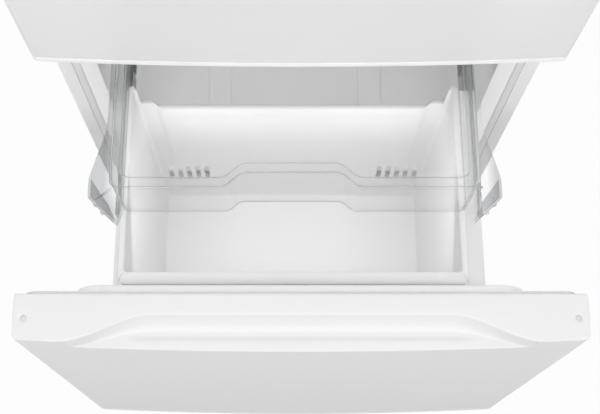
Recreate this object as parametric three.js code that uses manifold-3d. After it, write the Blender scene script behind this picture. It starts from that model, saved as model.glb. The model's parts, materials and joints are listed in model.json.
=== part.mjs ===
// A bottom freezer refrigerator with its freezer drawer pulled out.
// Cabinet frame: x to the right, y towards the back with 0 at the cabinet's front flange, z up from
// the floor. Everything in the drawer is drawn closed and carried forward by one group.
import * as THREE from 'three';
import { mergeVertices } from 'three/addons/utils/BufferGeometryUtils.js';
import Module from 'manifold-3d';

const wasm = await Module();
wasm.setup();

// ---- Driving dimensions, millimetres ----------------------------------------------------------

const fit = 0.3;               // gap left between pieces that touch
const past = 1;                // how far a cutting or joining shape runs past a face
const sheet = 1.2;             // steel sheet
const plastic = 2.5;           // moulded plastic wall
const roundSides = 24;         // facets of a wheel, disc or shell
const rodSides = 12;           // facets of a pin, shaft or stud
const cornerSides = 3;         // facets of a rounded corner

// Cabinet
const width = 756;             // cabinet and both doors
const cabinetDepth = 690;      // front flange to the back edge
const cabinetBottom = 38;      // lower edge of the steel sides
const cabinetTop = 1666;
const flange = 23;             // folded front edge, seen beside the doors
const sideWall = 48;           // cabinet's side to the inside of a compartment
const backWall = 70;
const topWall = 46;
const swage = 1.5;             // raised field of the back panel
const swageMargin = 70;

// Compartments
const freezerFloor = 150;
const freezerHigh = 562;
const mullionHigh = 72;        // freezer ceiling to refrigerator floor
const mullionDepth = 18;
const throat = 12;             // bevel around a compartment's mouth
const throatDepth = 34;
const lip = 12;                // flat liner edge between the bevel and the flange
const lipThick = 2;
const machineDeep = 265;       // machine space's front to the cabinet's back edge
const stepHigh = 150;
const stepWall = 38;           // insulation over the machine space
const machineWall = 40;        // insulation in front of it
const machineSide = 38;        // cabinet's side to the machine space
const padWide = 42;            // raised pads on the freezer floor
const padHigh = 4;
const padApart = 304;
const padShift = -7;

// Doors
const doorThick = 61.3;        // front corner line to the slab's back
const doorStand = 5.7;         // slab's back to the cabinet flange, filled by the gasket
const crown = 9.5;             // bulge of a door's front at its middle
const crownSteps = 12;
const edgeRound = 9;           // vertical edges of a door
const capThick = 11.7;         // plastic end cap of a door
const drawerBottom = 62;
const drawerRise = 28;         // freezer ceiling to the top of the drawer
const doorGap = 10;            // between the two doors
const doorTopGap = 4;          // door's top below the cabinet's top
const gasketWide = 14;
const gasketInset = 12;        // door's side to the gasket's outer edge
const gasketEndInset = 5;      // door's top or bottom to the gasket's outer edge

// Freezer drawer
const drawerTravel = 396;
const capDeep = 52;            // height of the drawer's top cap behind the finger grip
const capLid = 3;              // cap's cover over the steel front's upper edge
const scoopBack = 33;          // finger grip's back edge, behind the front corner line
const scoopInset = 58;         // door's side to where the grip runs out at the front
const scoopRun = 123;          // length of the curve at each end of the grip
const scoopSteps = 8;
const scoopLean = 11;          // how far the grip's back wall leans
const lipInset = 12;           // grip's end to the end of its front lip
const lipDrop = 34;            // top of the cap to the lip
const lipWide = 20;
const troughDrop = 45;         // top of the cap to the trough's bottom
const troughOver = 28;         // trough runs this far past the grip's straight edge
const troughSlope = 3;
const dykeSideGap = 21;        // raised panel on the drawer's inner side to the compartment's walls
const dykeTopGap = 8;
const dykeBottomGap = 22;
const dykeHeight = 22;

// Basket
const storageShift = -9;       // basket sits to the left of the middle in its rails
const basketFront = 57;
const basketStepGap = 13;      // closed basket's back to the step in the freezer floor
const basketLift = 10;         // above the freezer floor
const basketHeadroom = 129;    // its rim to the freezer ceiling
const basketRailGap = 25.5;    // its inside at the rim to the rails' outer edge
const basketTaper = 10;        // narrower at the floor by this much on each side
const basketFrontLean = 15;
const basketBackLean = 27;
const basketFillet = 32;
const rimWide = 9.5;
const rimHigh = 8;
const backDip = 56;            // rear wall's middle lies this much below the rim
const backDipInset = 35;       // basket's side to that dip
const backDipSlope = 20;
const slotWide = 9;
const slotPitch = 16.5;
const slotCount = 5;
const slotReach = 93;          // basket's side to the inner edge of the innermost slot
const slotLift = 76;           // above the basket's floor
const slotTall = 58;

// Drawer rails and telescopic slides
const railWallGap = 52.5;      // rail's outer edge to the compartment's wall
const railPlate = 3;           // thickness of a rail's top plate
const railWeb = 1.5;
const railShort = 6;           // rail ends this far before the basket's rear rim
const slideWall = 1.5;
const slideHigh = 43;
const slidePack = 12;          // all three members of a slide, side by side
const slideDrop = 4.7;         // below the rail's plate
const slideInset = 7.4;        // behind the rail's front end
const slideLong = 384;
const innerFlange = 5.5;       // width of the inner member's flanges
const middleReach = 2;         // middle member's flanges stop this far from the inner's face
const outerReach = 1;
const bracketHigh = 22;
const bracketInset = 20;
const bracketThick = 2;

// Upper tray
const trayShift = -7;
const trayFront = 156;
const trayCoverGap = 69;       // closed tray's back to the evaporator cover
const trayLift = 7;            // above the basket's rim
const trayHigh = 115;
const trayRailGap = 15.5;      // outside of its side walls to the rails' outer edge
const rimFlange = 16;          // depth of the front rim
const sideFlange = 6;
const recessDeep = 22;
const recessHalf = 71;
const recessRamp = 36;
const earOver = 12.5;          // ears reach this far past the rails
const earFlare = 107;          // the sides start to flare this far behind the front
const earReach = 21;           // an ear's tip stands this far before the front
const earLand = 14;
const earWall = 3;
const earTip = 6;              // bevel at an ear's tip
const earHook = 8;
const runnerInset = 1;         // runner's outer face inside the rail's outer edge
const runnerWall = 3;
const runnerRise = 6;          // runner's top above the tray's floor

// Refrigerator inside; heights are above the refrigerator's floor
const shelfFront = 110;
const shelfDuctGap = 28;       // shelf's back edge to the air duct
const shelfThick = 12;
const shelfFrame = 22;
const glassThick = 4;
const glassDrop = 1;           // glass below the frame's top
const upperShelfAt = 561;
const lowerShelfAt = 366;
const crisperCoverAt = 228;
const ledgeWide = 12;
const ledgeHigh = 9;
const crisperFront = 115;
const crisperBackInset = 20;   // crisper's back to the shelf's back edge
const crisperSideGap = 8;      // to the compartment's wall
const crisperHeadroom = 15;
const crisperGap = 8;          // between the two crispers
const pullReach = 10;
const pullInset = 40;
const pullThick = 5;
const pullDrop = 18;

// Refrigerator door
const doorDykeSideGap = 18;
const doorDykeEndGap = 14;
const doorDykeDeep = 37;
const doorDykeWall = 16;
const binDeep = 65;
const binTall = 84;
const lowerBinAt = 216;        // above the refrigerator's floor
const upperBinDrop = 230;      // below the refrigerator's ceiling
const handleInset = 44;        // grip's middle to the door's side
const handleAt = 290;          // lower end above the door's bottom
const handleDrop = 162;        // upper end below the door's top
const handleWide = 26;
const handleThick = 18;
const handleStand = 34;        // finger room behind the grip
const handleFoot = 46;
const handleSlope = 20;
const handleToe = 8;
const hingeInset = 16;         // pin's axis to the door's side
const hingeY = -36;
const pinRadius = 5;
const pinClearance = 0.8;
const pinLength = 9;
const pinEnd = 2;              // hole deeper than the pin
const hingePlate = 3;
const hingeInner = 23;         // plate's reach to either side of the pin
const hingeOuter = 12;
const hingeNose = 12;
const hingeTail = 66;          // on the cabinet's top
const hingeTab = 4;
const coverHigh = 15;
const coverRise = 8;
const coverTail = 80;

// Controls
const housingHalf = 150;
const housingFront = 52;
const housingDeep = 140;
const housingHigh = 32;
const knobX = 60;
const knobRadius = 13;
const knobDeep = 10;
const knobGrip = 5;
const switchX = -110;
const switchSize = 10;
const switchLong = 42;
const lensX = -60;
const lensHalf = 48;
const lensSet = 20;            // behind the housing's front
const lensDeep = 90;
const lensHigh = 8;
const lensWall = 2;

// Cooling inside the freezer
const coverStand = 65;         // evaporator cover before the back wall
const fanDrop = 76;            // fan's axis below the freezer's ceiling
const fanRadius = 52;
const fanGap = 14;             // cover to the fan's hub
const portGap = 6;
const hubRadius = 14;
const hubLong = 12;
const bladeCount = 5;
const bladeWide = 20;
const bladeThick = 1.6;
const bladePitch = 28;         // degrees
const shaftRadius = 3;
const shaftClearance = 0.5;
const shaftNose = 2;
const shaftRoot = 4;
const motorRadius = 24;
const motorLong = 26;
const armHalf = 46;
const armHigh = 18;
const guardWide = 4;
const returnInner = 60;
const returnInset = 50;        // compartment's wall to the return slots
const returnAt = 20;
const returnHigh = 14;
const finCount = 9;
const finPitch = 54;
const finThick = 3;
const finFront = 13;           // behind the cover
const finDeep = 44;
const finHigh = 220;
const finPipes = 3;
const ductHalf = 70;
const ductDeep = 30;
const ductStand = 2;           // before the back wall
const ductDrop = 9;            // below the freezer's ceiling
const ductTopDrop = 140;       // below the refrigerator's ceiling
const ventHalf = 40;
const ventAt = 60;             // above each shelf
const ventHigh = 18;

// Machine space
const compressorInset = 150;   // machine space's side to its axis
const compressorSet = 135;     // its axis behind the machine space's front
const compressorRadius = 74;
const compressorHigh = 158;
const compressorDome = 40;
const compressorFeet = 96;     // half width of its foot plate
const compressorFeetDeep = 70;
const footPlate = 5;
const terminalDeep = 26;
const terminalHalf = 26;
const terminalAt = 50;
const terminalHigh = 58;
const pipeRadius = 4;
const coilRuns = 6;
const coilPitch = 30;
const coilPanGap = 82;         // its straight runs to the drain pan
const coilSideGap = 30;        // and to the machine space's side
const coilSet = 70;            // before the cabinet's back edge
const bendSides = 6;
const machineFanInset = 150;
const machineFanSet = 95;      // behind the machine space's front
const machineFanZ = 140;
const postHalf = 8;
const postThick = 5;
const postFootHalf = 40;
const postFootDeep = 30;
const panFootGap = 2;          // drain pan beside the compressor's foot plate
const panHalf = 40;
const panHigh = 34;
const panFrontGap = 25;
const panBackGap = 30;
const coverSlots = 6;
const coverSlotHigh = 6;
const coverSlotPitch = 22;
const coverSlotAt = 50;
const coverSlotInner = 60;
const coverSlotInset = 78;     // cabinet's side to the slots
const cordHoleRadius = 11;     // the power cord's way out
const cordHoleInset = 48;
const cordHoleAt = 35;

// Base
const baseThick = 2;
const legInset = 43;           // cabinet's side to a leg's axis
const legY = 45;
const footRadius = 20;
const footHigh = 10;
const studRadius = 6;
const rollerInset = 48;
const rollerSet = 65;          // axle before the cabinet's back edge
const rollerRadius = 17;
const rollerWide = 22;
const rollerTab = 2;
const tabHalf = 13;
const tabClear = 6;            // tab's lower end above the floor
const grilleInset = 8;         // cabinet's side to the grille's end
const grilleBottom = 12;
const grilleGap = 5;           // below the drawer
const grilleDeep = 14;
const grilleSlots = 4;
const grilleSlotInset = 60;
const bossHalf = 6;
const bossHigh = 13;

// ---- Places worked out from them --------------------------------------------------------------

const half = width / 2;
const innerHalf = half - sheet - fit;
const backSheet = cabinetDepth - sheet - fit;
const baseTop = cabinetBottom + past + baseThick;

const roomHalf = half - sideWall;
const roomBack = cabinetDepth - backWall;
const freezerCeiling = freezerFloor + freezerHigh;
const fridgeFloor = freezerCeiling + mullionHigh;
const fridgeCeiling = cabinetTop - topWall;
const stepTop = freezerFloor + stepHigh;
const machineTop = stepTop - stepWall;
const machineFront = cabinetDepth - machineDeep;
const machineHalf = half - machineSide;
const stepFront = machineFront - machineWall;
const lipHalfWidth = half - flange - fit;
const freezerLipBottom = freezerFloor - throat - lip;
const freezerMouthTop = freezerCeiling + throat + plastic;
const fridgeMouthBottom = fridgeFloor - throat - plastic;
const fridgeLipTop = fridgeCeiling + throat + lip;
const openMouth = -throatDepth;

const doorBack = -doorStand;
const doorFront = doorBack - doorThick;
const drawerTop = freezerCeiling + drawerRise;
const doorBottom = drawerTop + doorGap;
const doorTop = cabinetTop - doorTopGap;
const capBottom = drawerTop - capDeep;
const drawerFillBottom = drawerBottom + capThick + fit;
const lipLevel = drawerTop - lipDrop;
const scoopHalf = half - scoopInset;
const lipHalf = scoopHalf - lipInset;
const scoopStraight = scoopHalf - scoopRun;
const troughHalf = scoopStraight + troughOver;
const dykeBack = doorBack + dykeHeight;
const hingeX = half - hingeInset;
const restFront = doorFront - crown - drawerTravel;
const originY = (restFront + cabinetDepth) / 2;

const coverY = roomBack - coverStand;
const railOuter = roomHalf - railWallGap;
const basketHalf = railOuter - basketRailGap;
const basketBack = stepFront - basketStepGap;
const basketFloor = freezerFloor + basketLift;
const basketRim = freezerCeiling - basketHeadroom;
const backDipHalf = basketHalf - backDipInset;
const slotFirst = basketHalf - slotReach;
const railTop = basketRim - rimHigh - fit;
const railFront = dykeBack + fit;
const railBack = basketBack - railShort;
const slideTop = railTop - railPlate - slideDrop;
const slideFront = railFront + slideInset;
const slideBack = slideFront + slideLong;
const slideStep = slideWall + fit;
const slideFace = railOuter - slidePack + fit;
const trayFloor = basketRim + trayLift;
const trayRim = trayFloor + trayHigh;
const trayBack = coverY - trayCoverGap;
const trayHalf = railOuter - trayRailGap;
const earHalf = railOuter + earOver;
const runnerHalf = railOuter - runnerInset;

const shelfTops = [upperShelfAt, lowerShelfAt, crisperCoverAt].map((at) => fridgeFloor + at);
const [upperShelfTop, lowerShelfTop, crisperCoverTop] = shelfTops;
const ductBack = roomBack - ductStand;
const ductFront = ductBack - ductDeep;
const shelfBack = ductFront - shelfDuctGap;
const crisperBack = shelfBack - crisperBackInset;
const crisperTop = crisperCoverTop - shelfThick - crisperHeadroom;
const crisperHalf = roomHalf - crisperSideGap;
const doorDykeHalf = roomHalf - doorDykeSideGap;
const doorDykeBack = doorBack + doorDykeDeep;
const housingBottom = fridgeCeiling - fit - housingHigh;
const switchZ = housingBottom + housingHigh / 2;

const fanZ = freezerCeiling - fanDrop;
const evaporatorFanFront = coverY + fanGap;
const compressorX = compressorInset - machineHalf;
const panX = compressorX + compressorFeet + panFootGap + panHalf;
const coilLeft = panX + panHalf + coilPanGap;
const coilRight = machineHalf - coilSideGap;
const machineFanX = machineHalf - machineFanInset;
const compressorY = machineFront + compressorSet;
const machineFanY = machineFront + machineFanSet;
const coilY = cabinetDepth - coilSet;
const legX = half - legInset;
const rollerX = half - rollerInset;
const rollerY = cabinetDepth - rollerSet;
const grilleHalf = half - grilleInset;

// ---- Finishes ---------------------------------------------------------------------------------

const finish = (color, roughness, metalness = 0, opacity = 1) => new THREE.MeshStandardMaterial({
  color, roughness, metalness, opacity, transparent: opacity < 1,
});
const enamel = finish(0xf1f1f0, 0.35);
const whitePlastic = finish(0xf0f0ef, 0.45);
const linerPlastic = finish(0xe9eaea, 0.4);
const clearPlastic = finish(0xe4e8ea, 0.1, 0, 0.35);
const glass = finish(0xdfe8e6, 0.05, 0, 0.4);
const rubber = finish(0xe2e2e0, 0.7);
const zinc = finish(0x8d9092, 0.4, 0.9);
const whiteSteel = finish(0xe6e7e7, 0.4, 0.2);
const black = finish(0x232425, 0.6);
const foam = finish(0xe0d6b4, 0.9);
const copper = finish(0x9a5c3c, 0.4, 0.9);
const greyPlastic = finish(0xb9bcbe, 0.5);

// ---- Small tools ------------------------------------------------------------------------------

// Turns a closed three.js geometry into a solid that can be joined and cut.
function solidOf(geometry) {
  const bare = geometry.clone();
  bare.deleteAttribute('normal');
  bare.deleteAttribute('uv');
  const merged = mergeVertices(bare, 1e-4);
  return new wasm.Manifold(new wasm.Mesh({
    numProp: 3,
    vertProperties: new Float32Array(merged.attributes.position.array),
    triVerts: new Uint32Array(merged.index.array),
  }));
}

function geometryOf(solid) {
  const mesh = solid.getMesh();
  const geometry = new THREE.BufferGeometry();
  geometry.setAttribute('position', new THREE.BufferAttribute(mesh.vertProperties, 3));
  geometry.setIndex(new THREE.BufferAttribute(mesh.triVerts, 1));
  geometry.computeVertexNormals();
  return geometry;
}

const join = (...solids) => solids.reduce((all, next) => all.add(next));
const cut = (solid, ...tools) => tools.reduce((rest, tool) => rest.subtract(tool), solid);
const bothSides = (make) => [-1, 1].flatMap(make);
const count = (number, make) => Array.from({ length: number }, (_, i) => make(i));

// A box between two corners, given as spans in x, y and z; a span's ends may come in any order.
function block(xs, ys, zs) {
  const size = [xs, ys, zs].map(([a, b]) => Math.abs(b - a));
  const box = new THREE.BoxGeometry(...size);
  box.translate((xs[0] + xs[1]) / 2, (ys[0] + ys[1]) / 2, (zs[0] + zs[1]) / 2);
  return solidOf(box);
}

function prism(points, depth) {
  const outline = new THREE.Shape(points.map(([a, b]) => new THREE.Vector2(a, b)));
  return new THREE.ExtrudeGeometry(outline, { depth, bevelEnabled: false });
}

// Plan outline in x and y, raised between two heights.
const raised = (points, low, high) => solidOf(prism(points, high - low).translate(0, 0, low));

// Side outline in y and z, drawn across from one x to another.
function across(points, left, right) {
  const turn = new THREE.Matrix4().set(0, 0, 1, left, 1, 0, 0, 0, 0, 1, 0, 0, 0, 0, 0, 1);
  return solidOf(prism(points, right - left).applyMatrix4(turn));
}

// Front outline in x and z, drawn back from one y to another.
function deep(points, front, back) {
  const turn = new THREE.Matrix4().set(1, 0, 0, 0, 0, 0, -1, back, 0, 1, 0, 0, 0, 0, 0, 1);
  return solidOf(prism(points, back - front).applyMatrix4(turn));
}

// A round bar along one axis, from its start point.
function bar(axis, radius, start, length, sides = rodSides) {
  const rod = new THREE.CylinderGeometry(radius, radius, length, sides);
  rod.translate(0, length / 2, 0);
  if (axis === 'x') rod.rotateZ(-Math.PI / 2);
  if (axis === 'z') rod.rotateX(Math.PI / 2);
  rod.translate(...start);
  return solidOf(rod);
}

// Points of a round corner about a centre, from one angle to another in degrees.
const corner = (x, y, radius, from, to, sides = cornerSides) => count(sides + 1, (i) => {
  const angle = THREE.MathUtils.degToRad(from + (to - from) * i / sides);
  return [x + radius * Math.cos(angle), y + radius * Math.sin(angle)];
});

const smooth = (t) => t * t * (3 - 2 * t);

function place(group, name, solid, material) {
  const mesh = new THREE.Mesh(geometryOf(solid), material);
  mesh.name = name;
  group.add(mesh);
}

// ---- Cabinet ----------------------------------------------------------------------------------

// The room inside a compartment, or the same room grown by a wall; its mouth is bevelled.
function roomSpace(floor, ceiling, stepped, grow, mouth) {
  const wide = roomHalf + grow;
  const back = roomBack + grow;
  const bottom = floor - grow;
  const top = ceiling + grow;
  const plan = raised([
    [-wide - throat, mouth], [wide + throat, mouth], [wide + throat, 0], [wide, throatDepth],
    [wide, back], [-wide, back], [-wide, throatDepth], [-wide - throat, 0],
  ], 0, cabinetTop);
  const rear = stepped
    ? [[stepFront + grow, bottom], [stepFront + grow, stepTop - grow], [back, stepTop - grow]]
    : [[back, bottom]];
  const side = across([
    [mouth, bottom - throat], [0, bottom - throat], [throatDepth, bottom], ...rear,
    [back, top], [throatDepth, top], [0, top + throat], [mouth, top + throat],
  ], -half, half);
  return plan.intersect(side);
}

const freezerRoom = (grow, mouth) => roomSpace(freezerFloor, freezerCeiling, true, grow, mouth);
const fridgeRoom = (grow, mouth) => roomSpace(fridgeFloor, fridgeCeiling, false, grow, mouth);

const ductHole = block([-ductHalf - fit, ductHalf + fit], [ductFront - fit, ductBack + fit],
  [freezerCeiling - plastic, fridgeFloor + plastic]);

function liner(room, lipBottom, lipTop) {
  const edge = block([-lipHalfWidth, lipHalfWidth], [0, lipThick], [lipBottom, lipTop]);
  return cut(join(room(plastic, 0), edge), room(0, openMouth), ductHole);
}

function fridgeLiner() {
  const ledges = shelfTops.flatMap((top) => bothSides((side) => {
    const under = top - shelfThick - fit;
    return block([side * (roomHalf - ledgeWide), side * (roomHalf + plastic / 2)],
      [shelfFront, shelfBack], [under - ledgeHigh, under]);
  }));
  return join(liner(fridgeRoom, fridgeMouthBottom, fridgeLipTop), ...ledges);
}

function freezerLiner() {
  const pads = bothSides((side) => {
    const middle = padShift + side * padApart / 2;
    return block([middle - padWide / 2, middle + padWide / 2],
      [throatDepth + padWide, stepFront - padWide], [freezerFloor - plastic / 2, freezerFloor + padHigh]);
  });
  return join(liner(freezerRoom, freezerLipBottom, freezerMouthTop), ...pads);
}

function cabinetShell() {
  const inner = half - sheet;
  const opening = half - flange;
  return cut(
    block([-half, half], [0, cabinetDepth], [cabinetBottom, cabinetTop]),
    block([-inner, inner], [sheet, cabinetDepth + past], [cabinetBottom - past, cabinetTop - sheet]),
    block([-opening, opening], [-past, sheet + past], [cabinetBottom - past, fridgeLipTop + fit]),
  );
}

function backPanel() {
  const front = backSheet - sheet;
  const top = cabinetTop - sheet - fit;
  const field = innerHalf - swageMargin;
  return join(
    block([-innerHalf, innerHalf], [front, backSheet], [machineTop + fit, top]),
    block([-field, field], [front + sheet / 2, front + sheet / 2 + swage],
      [machineTop + swageMargin, top - swageMargin]),
  );
}

const mullionSpace = (grow) => block([-lipHalfWidth - grow, lipHalfWidth + grow],
  [-grow, mullionDepth + grow], [freezerMouthTop + fit - grow, fridgeMouthBottom - fit + grow]);

function insulation() {
  const back = backSheet - sheet - fit;
  const gap = plastic + fit;
  return cut(
    block([-innerHalf, innerHalf], [lipThick + fit, back], [baseTop + fit, cabinetTop - sheet - fit]),
    freezerRoom(gap, openMouth),
    fridgeRoom(gap, openMouth),
    ductHole,
    block([-machineHalf, machineHalf], [machineFront, back + past], [baseTop - past, machineTop]),
    mullionSpace(fit),
  );
}

function baseFrame() {
  const low = cabinetBottom + past;
  const plate = block([-innerHalf, innerHalf], [sheet + fit, backSheet - sheet - fit], [low, baseTop]);
  const apron = block([-lipHalfWidth, lipHalfWidth], [0, lipThick], [low, freezerLipBottom - 2 * fit]);
  const tabs = bothSides((side) => bothSides((end) => {
    const face = side * rollerX + end * (rollerWide / 2 + fit);
    return block([face, face + end * rollerTab], [rollerY - tabHalf, rollerY + tabHalf],
      [tabClear, low + past]);
  }));
  const axleLong = rollerWide + 2 * (rollerTab + fit);
  const axles = bothSides((side) => bar('x', shaftRadius,
    [side * rollerX - axleLong / 2, rollerY, rollerRadius], axleLong));
  const holes = bothSides((side) => bar('z', studRadius + pinClearance,
    [side * legX, legY, cabinetBottom], baseThick + 2 * past));
  return cut(join(plate, apron, ...tabs, ...axles), ...holes);
}

function rearCover() {
  const cover = block([-innerHalf, innerHalf], [backSheet - sheet, backSheet], [baseTop + fit, machineTop]);
  const slots = count(coverSlots, (row) => bothSides((side) => {
    const low = baseTop + coverSlotAt + row * coverSlotPitch;
    return block([side * coverSlotInner, side * (half - coverSlotInset)],
      [backSheet - sheet - past, backSheet + past], [low, low + coverSlotHigh]);
  })).flat();
  const cordHole = bar('y', cordHoleRadius,
    [cordHoleInset - half, backSheet - sheet - past, baseTop + cordHoleAt], sheet + 2 * past, roundSides);
  return cut(cover, ...slots, cordHole);
}

function toeGrille() {
  const top = drawerBottom - grilleGap;
  const face = block([-grilleHalf, grilleHalf], [-grilleDeep, -fit], [grilleBottom, top]);
  const hollow = block([-grilleHalf + plastic, grilleHalf - plastic],
    [-grilleDeep + plastic, past], [grilleBottom - past, top - plastic]);
  const pitch = (top - grilleBottom - plastic) / (grilleSlots + 1);
  const slots = count(grilleSlots, (i) => {
    const low = grilleBottom + pitch * (i + 0.75);
    return block([-grilleHalf + grilleSlotInset, grilleHalf - grilleSlotInset],
      [-grilleDeep - past, -fit], [low, low + pitch / 2]);
  });
  const bosses = bothSides((side) => block([side * legX - bossHalf, side * legX + bossHalf],
    [-grilleDeep + past, -fit], [top - past - bossHigh, top - past]));
  return join(cut(face, hollow, ...slots), ...bosses);
}

function levellingLeg(side) {
  const foot = bar('z', footRadius, [side * legX, legY, 0], footHigh, roundSides);
  const stud = bar('z', studRadius, [side * legX, legY, footHigh - past], baseTop - footHigh);
  return join(foot, stud);
}

function rearRoller(side) {
  const start = [side * rollerX - rollerWide / 2, rollerY, rollerRadius];
  const wheel = bar('x', rollerRadius, start, rollerWide, roundSides);
  const bore = bar('x', shaftRadius + shaftClearance, [start[0] - past, rollerY, rollerRadius],
    rollerWide + 2 * past);
  return cut(wheel, bore);
}

// ---- Cooling ----------------------------------------------------------------------------------

// A fan's blades on a hub, turning about y; front is the hub's front face.
function fanBlades(x, front, z) {
  const reach = (fanRadius + hubRadius / 2) / 2;
  const blades = count(bladeCount, (i) => {
    const blade = new THREE.BoxGeometry(bladeWide, bladeThick, fanRadius - hubRadius / 2);
    blade.rotateZ(THREE.MathUtils.degToRad(bladePitch));
    blade.translate(0, 0, reach);
    blade.rotateY(2 * Math.PI * i / bladeCount);
    blade.translate(x, front + hubLong / 2, z);
    return solidOf(blade);
  });
  const hub = bar('y', hubRadius, [x, front, z], hubLong, roundSides);
  const bore = bar('y', shaftRadius + shaftClearance, [x, front - hubLong, z], 3 * hubLong);
  return cut(join(hub, ...blades), bore);
}

// A small motor behind a fan, with the shaft that carries the blades.
function fanMotor(x, hubFront, z) {
  const body = bar('y', motorRadius, [x, hubFront + hubLong + fit, z], motorLong, roundSides);
  const shaft = bar('y', shaftRadius, [x, hubFront - shaftNose, z], shaftNose + hubLong + shaftRoot);
  return join(body, shaft);
}

function evaporatorFanMotor() {
  const armFront = evaporatorFanFront + hubLong + motorLong - shaftRoot;
  const arm = block([-armHalf, armHalf], [armFront, roomBack - fit],
    [fanZ - armHigh / 2, fanZ + armHigh / 2]);
  return join(fanMotor(0, evaporatorFanFront, fanZ), arm);
}

function evaporatorCover() {
  const plate = block([-roomHalf + fit, roomHalf - fit], [coverY, coverY + plastic],
    [stepTop + fit, freezerCeiling - fit]);
  const portRadius = fanRadius + portGap;
  const port = bar('y', portRadius, [0, coverY - past, fanZ], plastic + 2 * past, roundSides);
  const guards = count(3, (i) => {
    const rib = new THREE.BoxGeometry(2 * (portRadius + guardWide), plastic, guardWide);
    rib.rotateY(i * Math.PI / 3);
    rib.translate(0, coverY + plastic / 2, fanZ);
    return solidOf(rib);
  });
  const returns = bothSides((side) => block([side * returnInner, side * (roomHalf - returnInset)],
    [coverY - past, coverY + plastic + past], [stepTop + returnAt, stepTop + returnAt + returnHigh]));
  return cut(join(cut(plate, port), ...guards), ...returns);
}

function evaporatorCoil() {
  const low = stepTop + fit;
  const front = coverY + finFront;
  const first = -finPitch * (finCount - 1) / 2;
  const fins = count(finCount, (i) => {
    const x = first + i * finPitch;
    return block([x - finThick / 2, x + finThick / 2], [front, front + finDeep], [low, low + finHigh]);
  });
  const pipes = count(finPipes, (i) => bar('x', pipeRadius,
    [first - finPitch / 2, front + finDeep / 2, low + finHigh * (i + 0.5) / finPipes],
    finPitch * finCount, bendSides));
  return join(...fins, ...pipes);
}

function airDuct() {
  const low = freezerCeiling - ductDrop;
  const high = fridgeCeiling - ductTopDrop;
  const outer = block([-ductHalf, ductHalf], [ductFront, ductBack], [low, high]);
  const inner = block([-ductHalf + plastic, ductHalf - plastic],
    [ductFront + plastic, ductBack - plastic], [low - past, high - plastic]);
  const vents = shelfTops.map((level) => block([-ventHalf, ventHalf],
    [ductFront - past, ductFront + plastic + past], [level + ventAt, level + ventAt + ventHigh]));
  return cut(outer, inner, ...vents);
}

// The compressor's welded shell stands on a foot plate; its terminals are under a side cover.
function compressor() {
  const base = baseTop + fit;
  const shoulder = compressorRadius - compressorDome;
  const dome = corner(shoulder, base + compressorHigh - compressorDome, compressorDome, 0, 90);
  const profile = [[0, base], [compressorRadius, base], ...dome, [0, base + compressorHigh]];
  const shell = new THREE.LatheGeometry(profile.map(([r, z]) => new THREE.Vector2(r, z)), roundSides);
  shell.rotateX(Math.PI / 2);
  shell.translate(compressorX, compressorY, 0);
  const plate = block([compressorX - compressorFeet, compressorX + compressorFeet],
    [compressorY - compressorFeetDeep, compressorY + compressorFeetDeep], [base, base + footPlate]);
  const face = compressorX + compressorRadius;
  const terminals = block([face - shoulder, face + terminalDeep],
    [compressorY - terminalHalf, compressorY + terminalHalf],
    [base + terminalAt, base + terminalAt + terminalHigh]);
  return join(solidOf(shell), plate, terminals);
}

// A serpentine tube standing on its lowest run: straight runs joined by half-round bends.
function condenserCoil() {
  const low = baseTop + fit + pipeRadius;
  const thin = pipeRadius - fit;
  const runs = count(coilRuns, (i) => bar('x', pipeRadius,
    [coilLeft, coilY, low + i * coilPitch], coilRight - coilLeft, bendSides + 2));
  const bends = count(coilRuns - 1, (i) => {
    const side = i % 2 ? -1 : 1;
    const start = side < 0 ? coilLeft + past : coilRight - past;
    const z = low + (i + 0.5) * coilPitch;
    const outer = corner(0, z, coilPitch / 2 + thin, -90, 90, bendSides);
    const inner = corner(0, z, coilPitch / 2 - thin, 90, -90, bendSides);
    const outline = [...outer, ...inner].map(([reach, height]) => [start + side * reach, height]);
    return deep(outline, coilY - thin, coilY + thin);
  });
  return join(...runs, ...bends);
}

function condenserFanMotor() {
  const stand = machineFanY + hubLong + motorLong / 2;
  const base = baseTop + fit;
  const post = block([machineFanX - postHalf, machineFanX + postHalf], [stand, stand + postThick],
    [base, machineFanZ]);
  const foot = block([machineFanX - postFootHalf, machineFanX + postFootHalf],
    [stand - postFootDeep / 2, stand + postFootDeep / 2], [base, base + hingePlate]);
  return join(fanMotor(machineFanX, machineFanY, machineFanZ), post, foot);
}

function drainPan() {
  const low = baseTop + fit;
  const front = machineFront + panFrontGap;
  const back = cabinetDepth - panBackGap;
  return cut(
    block([panX - panHalf, panX + panHalf], [front, back], [low, low + panHigh]),
    block([panX - panHalf + plastic, panX + panHalf - plastic], [front + plastic, back - plastic],
      [low + plastic, low + panHigh + past]),
  );
}

// ---- Refrigerator inside ----------------------------------------------------------------------

// A glass plate in a moulded frame.
function glassShelf(top) {
  const wide = roomHalf - 2 * fit;
  const inside = [[-wide + shelfFrame, wide - shelfFrame], [shelfFront + shelfFrame, shelfBack - shelfFrame]];
  const glassTop = top - glassDrop;
  return cut(
    block([-wide, wide], [shelfFront, shelfBack], [top - shelfThick, top]),
    block(...inside, [glassTop, top + past]),
    block(...inside, [top - shelfThick - past, glassTop - glassThick]),
  );
}

function crisper(side) {
  const inner = crisperGap / 2;
  const low = fridgeFloor + fit;
  const pullZ = crisperTop - pullDrop;
  const box = block([side * inner, side * crisperHalf], [crisperFront, crisperBack], [low, crisperTop]);
  const space = block([side * (inner + plastic), side * (crisperHalf - plastic)],
    [crisperFront + plastic, crisperBack - plastic], [low + plastic, crisperTop + past]);
  const pull = block([side * (inner + pullInset), side * (crisperHalf - pullInset)],
    [crisperFront - pullReach, crisperFront + past], [pullZ, pullZ + pullThick]);
  return cut(join(box, pull), space);
}

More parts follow.
